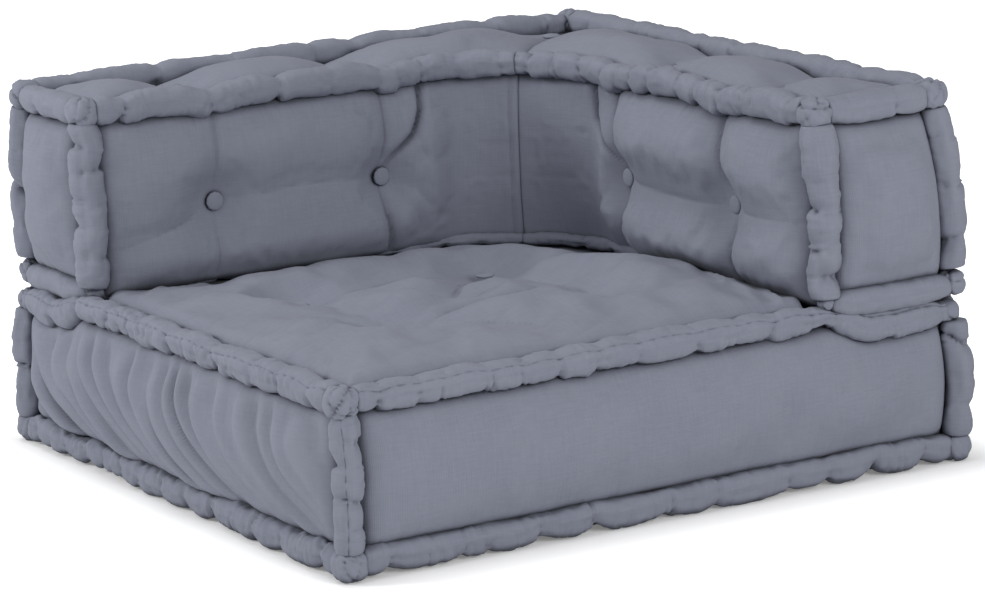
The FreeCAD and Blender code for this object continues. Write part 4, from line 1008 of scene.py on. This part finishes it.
OUTER_BUTTONS = centres("back_outer_buttons")
for side in ("rear", "right"):
    lines = []
    for height in (FACE_LOW, FACE_HIGH):
        outer = EDGE - inset(height)
        spread = ALONG * (outer / EDGE)
        line = np.column_stack([spread, np.full(len(ALONG), outer), np.full(len(ALONG), height)])
        lines.append(line if side == "rear" else line[:, SWAP])
    axis = 0 if side == "rear" else 1
    on_side = [place for place in OUTER_BUTTONS if (place[1] > place[0]) == (side == "rear")]
    spots = sorted((place[axis], place[2]) for place in on_side)
    cover(f"back_outside_cover_{side}", [f"back_outer_panel_{side}"], BACK, *lines,
          (0, 1, 0) if side == "rear" else (1, 0, 0), outer_height(spots, 320 + axis * 5), -EDGE, 0.8)


def end_height(seed):
    """Height of an arm's end: one full, nearly smooth pillow."""
    def height(along, across, width, base):
        ends = np.minimum(along, along.max() - along)
        rims = np.minimum(across, width - across)
        tall = 0.008 + 0.015 * puff(rims, 0.018) * puff(ends, 0.018)
        tall += 0.014 * swell(rims, 0.070) * swell(ends, 0.055)
        tall += 0.0010 * lumps(along, across, 0.05, seed)
        tall -= gathers(along, width - across, 0.012, 0.0014, 0.012, seed + 1)
        tall -= gathers(along, across, 0.010, 0.0022, 0.020, seed + 2)
        tall -= gathers(across, ends, 0.016, 0.0012, 0.010, seed + 3)
        return tall
    return height


for side in ("left", "front"):
    lines = []
    for height in (FACE_LOW - 0.010, FACE_HIGH):
        outer = EDGE - inset(height)
        spread = np.linspace(FACE_WALL - TUCK, outer + TUCK, 36)
        line = np.column_stack([np.full(36, -outer), spread, np.full(36, height)])
        lines.append(line if side == "left" else line[:, SWAP])
    cover(f"back_end_cover_{side}", [f"back_end_panel_{side}"], BACK, *lines,
          (-1, 0, 0) if side == "left" else (0, -1, 0), end_height(330 + len(side)), 0.0, 0.9)


TOP_TUFTS = [place[:2] for place in centres("back_top_buttons")]


def l_lines(outer, height, tuck=TUCK):
    """Inner and outer line of an L-shaped cover, from the left end round the corner to the front."""
    wall, radius = FACE_WALL - tuck, FACE_WALL - ROUND_CENTRE - tuck
    straight = np.linspace(-outer - tuck, ROUND_CENTRE, round((ROUND_CENTRE + outer) / STEP))
    angles = np.linspace(0, math.pi / 4, round(radius * math.pi / 4 / STEP))[1:]
    inner = [(x, wall) for x in straight]
    outside = [(x, outer + tuck) for x in straight]
    for angle in angles:
        inner.append((ROUND_CENTRE + radius * math.sin(angle), ROUND_CENTRE + radius * math.cos(angle)))
        outside.append((ROUND_CENTRE + (outer + tuck - ROUND_CENTRE) * math.tan(angle), outer + tuck))
    lines = []
    for half_line in (inner, outside):
        half_line = np.array(half_line)
        whole = np.concatenate([half_line, half_line[-2::-1, ::-1]])
        lines.append(np.column_stack([whole, np.full(len(whole), height)]))
    return lines


def top_height(along, across, width, base):
    """Top of the back: pillows between the tufts, each tuft drawn down to both edges."""
    x, y = base[..., 0], base[..., 1]
    ends = np.minimum(x, y) + HALF - LEAN - ROLL
    rims = np.minimum(across, width - across)
    tall = 0.002 + 0.011 * puff(rims, 0.016) * puff(ends, 0.02)
    tall += 0.013 * swell(across, 0.050) * swell(width - across, 0.11) * swell(ends, 0.06)
    depths = []
    for centre in TOP_TUFTS:
        depths.append(tuft(x, y, centre, 0.015, 0.040))
        if centre[1] > centre[0] + 0.05:
            lines = [[centre, (centre[0] + 0.012, FACE_WALL)], [centre, (centre[0] - 0.010, HALF)]]
        elif centre[0] > centre[1] + 0.05:
            lines = [[centre, (FACE_WALL, centre[1] + 0.012)], [centre, (HALF, centre[1] - 0.010)]]
        else:
            lines = [[centre, (0.150, 0.150)], [centre, (HALF, HALF)]]
        for line in lines:
            depths.append(crease(x, y, line, (0.021, 0.018), 0.085, 0.75))
    tall -= together(depths, 0.024) * swell(rims + 0.003, 0.010)
    tall += 0.0016 * lumps(x, y, 0.05, 341)
    tall -= gathers(along, across, 0.011, 0.0018, 0.016, 342)
    tall -= gathers(along, width - across, 0.013, 0.0020, 0.018, 343)
    return tall


cover("back_top_cover", ["back_top_panel"], BACK, *l_lines(EDGE - LEAN, BACK_CORE_HIGH), (0, 0, 1),
      top_height, 0.0, 0.9, give=0.003)


def back_bottom_height(along, across, width, base):
    """Pressed flat on the seat."""
    rims = np.minimum(across, width - across)
    return 0.0015 + (BACK_FOOT_DEPTH - 0.0018) * puff(rims, 0.02)


BACK_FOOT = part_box("back_bottom_panel")
BACK_FOOT_DEPTH = BACK_FOOT[1].z - BACK_FOOT[0].z
cover("back_bottom_cover", ["back_bottom_panel"], BACK, *l_lines(EDGE, BACK_FOOT[1].z, 0.0), (0, 0, -1),
      back_bottom_height, 0.0, 0.8, give=0)


# Rolled edges, knots and buttons of the back mattress
# The same rolls as on the seat. The upper ones dip where the tufting pulls them down, and the upright
# ones at the arms' ends are stitched at short distances, which gives them a row of rounded bulges.

def sagged(path, dips):
    """Lets a roll dip a few millimetres where the tufting pulls on it."""
    path = np.array(path, float)
    run = np.concatenate([[0], np.cumsum(np.linalg.norm(np.diff(path, axis=0), axis=1))])
    for place, depth in dips:
        path[:, 2] -= depth * np.exp(-((run - place) / 0.030) ** 2)
    return path


def inner_path(height):
    """Middle of the rolled edge over or under the rear arm's face."""
    start = -(HALF - inset(height)) + INTO_KNOT
    straight = np.linspace(start, ROUND_CENTRE, 100)
    angles = np.linspace(0, math.pi / 4, 40)[1:]
    turned = ROUND_CENTRE + CORNER_RADIUS * np.column_stack([np.sin(angles), np.cos(angles)])
    plan = np.concatenate([np.column_stack([straight, np.full(100, BACK_INNER)]), turned])
    return np.column_stack([plan, np.full(len(plan), height)])


# stitches of the back's edges, as distances along the arm from the middle of the module
BACK_STITCHES = {
    "top_inner_rear": [-0.285, -0.187, -0.110, -0.050, 0.003, 0.025, 0.052, 0.098, 0.142],
    "top_inner_right": [-0.290, -0.215, -0.170, -0.128, -0.095, -0.049, -0.015, 0.010, 0.036, 0.076, 0.110,
                        0.142],
    "top_outer_rear": [-0.270, -0.177, -0.090, 0.001, 0.051, 0.132, 0.220, 0.280, 0.305],
    "top_outer_right": [-0.305, -0.247, -0.212, -0.163, -0.112, -0.065, -0.001, 0.054, 0.091, 0.152, 0.200,
                        0.268],
}
TOP_DIPS = {"rear": [(-0.187, 0.005), (0.020, 0.005)], "right": [(-0.175, 0.005), (0.030, 0.006)]}
for level in ("top", "bottom"):
    height = BACK_HIGH if level == "top" else BACK_LOW
    outer = HALF - inset(height)
    for side in ("rear", "right"):
        known = BACK_STITCHES.get(f"{level}_inner_{side}")
        path = inner_path(height)
        start = path[0, 0]
        if level == "top":
            path = sagged(path, [(place - start, depth) for place, depth in TOP_DIPS[side]])
        length = ROUND_CENTRE - start + CORNER_RADIUS * math.pi / 4
        places = [place - start for place in known] if known else stitches(length, 0.06, 400 + len(side))
        # square to the straight part, and towards the middle of the round one
        turning = path[:, 0] > ROUND_CENTRE
        outward = np.zeros_like(path)
        outward[:, 0] = np.where(turning, ROUND_CENTRE - path[:, 0], 0.0)
        outward[:, 1] = np.where(turning, ROUND_CENTRE - path[:, 1], -1.0)
        outward /= np.linalg.norm(outward, axis=1)[:, None]
        shape = (0.98, 1.0)
        if level == "bottom":
            # pressed flat between the pillows and the seat, and pushed back under the face
            beyond = np.clip((ROUND_CENTRE - 0.02 - path[:, :1]) / 0.03, 0, 1)
            path = path - outward * (0.006 + 0.006 * beyond) - np.array([0, 0, 0.0084])
            shape = (0.60, 0.48)
        if side == "right":
            path, outward = path[:, SWAP], outward[:, SWAP]
        ruched, around = (1.1, 0.40) if side == "right" else (0.7, 0.25)
        rolled(f"back_{level}_edge_inner_{side}", [f"back_{level}_roll_inner_{side}"], BACK, path, outward,
               places, 410 + len(side) + len(level), None, (0, 0, -0.0018 if level == "top" else 0.0), shape,
               ruched=ruched, around=around)
        known = BACK_STITCHES.get(f"{level}_outer_{side}")
        ends = outer - INTO_KNOT
        lifted = height + (0.003 if level == "top" else 0)
        path = line_of((-ends, outer, lifted), (ends, outer, lifted))
        if side == "right":
            path = path[:, SWAP]
        places = [place + ends for place in known] if known else stitches(2 * ends, 0.06, 420 + len(side))
        rolled(f"back_{level}_edge_outer_{side}", [f"back_{level}_roll_outer_{side}"], BACK, path,
               (0, 1, 0) if side == "rear" else (1, 0, 0), places, 430 + len(side) + len(level), None,
               (0, 0, -0.0010 if level == "top" else 0.0))
    for side in ("left", "front"):
        into = INTO_KNOT if level == "top" else 0.002
        path = line_of((-outer, BACK_INNER + into, height), (-outer, outer - into, height))
        if side == "front":
            path = path[:, SWAP]
        shape, necks = (0.95, 0.95), ()
        if level == "bottom":
            path = path - np.array([0, 0, 0.0062])
            shape, necks = (1.12, 0.95), [(0.0, 0.50), (0.142, 0.50)]
        rolled(f"back_{level}_edge_end_{side}", [f"back_{level}_roll_end_{side}"], BACK, path,
               (-1, 0, 0) if side == "left" else (0, -1, 0), [0.075] if level == "top" else [],
               440 + len(side) + len(level), None, (0, 0, 0), shape, necks)


BACK_UPRIGHTS = {"inner_left": [0.030, 0.062, 0.088, 0.118, 0.140],
                 "inner_front": [0.022, 0.052, 0.084, 0.112],
                 "rear_left": [0.034, 0.075, 0.110], "front_right": [0.030, 0.085, 0.128],
                 "rear_right": [0.040, 0.080, 0.120]}
for name, places in BACK_UPRIGHTS.items():
    ends = []
    foot = BACK_LOW + 0.001 if name.startswith("inner") else BACK_LOW + INTO_KNOT
    for height in (foot, BACK_HIGH - INTO_KNOT):
        outer = HALF - inset(height)
        ends.append({"inner_left": (-outer, BACK_INNER, height), "inner_front": (BACK_INNER, -outer, height),
                     "rear_left": (-outer, outer, height), "front_right": (outer, -outer, height),
                     "rear_right": (outer, outer, height)}[name])
    outward = {"inner_left": (-1, -1, 0), "inner_front": (-1, -1, 0), "rear_left": (-1, 1, 0),
               "front_right": (1, -1, 0), "rear_right": (1, 1, 0)}[name]
    lean = {"inner_left": (0.0020, 0, 0), "inner_front": (0, 0.0026, 0)}.get(name, (0, 0, 0))
    shape = (1.10, 1.10) if name == "inner_left" else (1.14, 1.14) if name == "inner_front" else (1.0, 1.0)
    rolled(f"back_upright_edge_{name}", [f"back_corner_roll_{name}"], BACK, line_of(*ends), outward, places,
           450 + len(name), None, lean, shape)


def back_knot(centre):
    """At the foot of the arms' inner corners the cloth is only gathered, without a lump."""
    lower = centre[2] < BACK_LOW + 0.01
    inner = min(abs(centre[0] - BACK_INNER), abs(centre[1] - BACK_INNER)) < 0.01
    if lower:
        return (0.55, np.array([0, 0, -0.002])) if inner else (0.85, np.array([0, 0, -0.004]))
    return 1.0, np.array([0, 0, 0.0]) if inner else np.array([0, 0, 0.002])


knots("back_knots", "back_corner_knots", BACK, 230, back_knot)
buttons("back_buttons_face", "back_face_buttons", BACK,
        lambda centre: (0, -1, 0) if centre[1] > centre[0] else (-1, 0, 0))
buttons("back_buttons_outside", "back_outer_buttons", BACK,
        lambda centre: (0, 1, 0) if centre[1] > centre[0] else (1, 0, 0))
buttons("back_buttons_top", "back_top_buttons", BACK, lambda centre: (0, 0, 1), 0.003)
buttons("back_buttons_under", "back_bottom_buttons", BACK, lambda centre: (0, 0, -1))


# Studio
# A white floor that runs on to the horizon, soft daylight from all round and four softboxes: the key
# from the left and behind, one in front, one overhead and a weak one high on the left. The lens is long.

def studio_floor():
    """Matt white paper, lifted to white where it is seen directly, so that only the shadow stays."""
    material, tree, shader = new_material("white studio paper")
    grain = add(tree, "ShaderNodeTexNoise", {"Scale": 400.0, "Detail": 2.0}).outputs["Fac"]
    tint = add(tree, "ShaderNodeMix", {"Factor": grain, "A": linear("#f4f4f4"), "B": linear("#f8f8f8")},
               data_type="RGBA").outputs["Result"]
    tree.links.new(tint, shader.inputs["Base Color"])
    seen = add(tree, "ShaderNodeLightPath").outputs["Is Camera Ray"]
    place = add(tree, "ShaderNodeTexCoord").outputs["Object"]
    sides = add(tree, "ShaderNodeVectorMath", {0: place}, operation="ABSOLUTE").outputs["Vector"]
    apart = add(tree, "ShaderNodeSeparateXYZ", {"Vector": sides})
    away = add(tree, "ShaderNodeMath", {0: apart.outputs["X"], 1: apart.outputs["Y"]},
               operation="MAXIMUM").outputs[0]
    # less lift near the sofa, where its shadow falls
    fade = add(tree, "ShaderNodeMapRange", {"Value": away, "From Min": 0.345, "From Max": 0.45,
                                            "To Min": 0.18, "To Max": 0.9}).outputs["Result"]
    lift = add(tree, "ShaderNodeMath", {0: seen, 1: fade}, operation="MULTIPLY").outputs[0]
    shader.inputs["Emission Color"].default_value = (1, 1, 1, 1)
    tree.links.new(lift, shader.inputs["Emission Strength"])
    shader.inputs["Roughness"].default_value = 0.9
    shader.inputs["Specular IOR Level"].default_value = 0.1
    return material


FLOOR = 6.0                  # half the width of the paper
floor_mesh = bpy.data.meshes.new("studio_floor")
corners = [(x * FLOOR, y * FLOOR, 0) for x, y in ((-1, -1), (1, -1), (1, 1), (-1, 1))]
floor_mesh.from_pydata(corners, [], [(0, 1, 2, 3)])
floor_mesh.materials.append(studio_floor())
floor = bpy.data.objects.new("studio_floor", floor_mesh)
bpy.context.scene.collection.objects.link(floor)

world = bpy.data.worlds.new("soft_daylight")
bpy.context.scene.world = world
world.use_nodes = True
sky = world.node_tree
sky.nodes.clear()
seen = add(sky, "ShaderNodeLightPath").outputs["Is Camera Ray"]
strength = add(sky, "ShaderNodeMapRange", {"Value": seen, "To Min": 0.37, "To Max": 1.0}).outputs["Result"]
glow = add(sky, "ShaderNodeBackground", {"Color": (1, 1, 1, 1), "Strength": strength})
add(sky, "ShaderNodeOutputWorld", {"Surface": glow.outputs["Background"]})


def softbox(name, place, aim, size, power):
    """Square lamp that points from its place to a point."""
    lamp = bpy.data.lights.new(name, "AREA")
    lamp.size = size
    lamp.energy = power
    holder = bpy.data.objects.new(name, lamp)
    bpy.context.scene.collection.objects.link(holder)
    holder.location = place
    way = Vector(aim) - Vector(place)
    holder.rotation_mode = "QUATERNION"
    holder.rotation_quaternion = way.to_track_quat("-Z", "Y")
    return holder


softbox("key_softbox", (-2.6, 1.2, 1.45), (0, 0, 0.2), 0.7, 40)
softbox("front_softbox", (0.3, -3.1, 1.45), (0, 0, 0.2), 1.4, 45)
softbox("overhead_softbox", (-0.5, 0.9, 2.7), (0, 0, 0.3), 1.2, 15)
softbox("left_softbox", (-2.4, -0.8, 2.2), (0, 0, 0.2), 0.8, 8)

lens = bpy.data.cameras.new("long_lens")
lens.sensor_fit = "HORIZONTAL"
lens.sensor_width = 36
lens.lens = 152.0
camera = bpy.data.objects.new("long_lens", lens)
bpy.context.scene.collection.objects.link(camera)
camera.location = (-2.0211, -3.4835, 1.0230)
TO_RIGHT = Vector((0.85749649, -0.51282636, -0.04133885))
UP = Vector((0.1428484, 0.16012457, 0.97670592))
BACKWARDS = Vector((-0.49426117, -0.84342709, 0.21056268))
camera.rotation_mode = "QUATERNION"
camera.rotation_quaternion = Matrix((TO_RIGHT, UP, BACKWARDS)).transposed().to_quaternion()
bpy.context.scene.camera = camera
bpy.context.scene.view_settings.view_transform = "Standard"
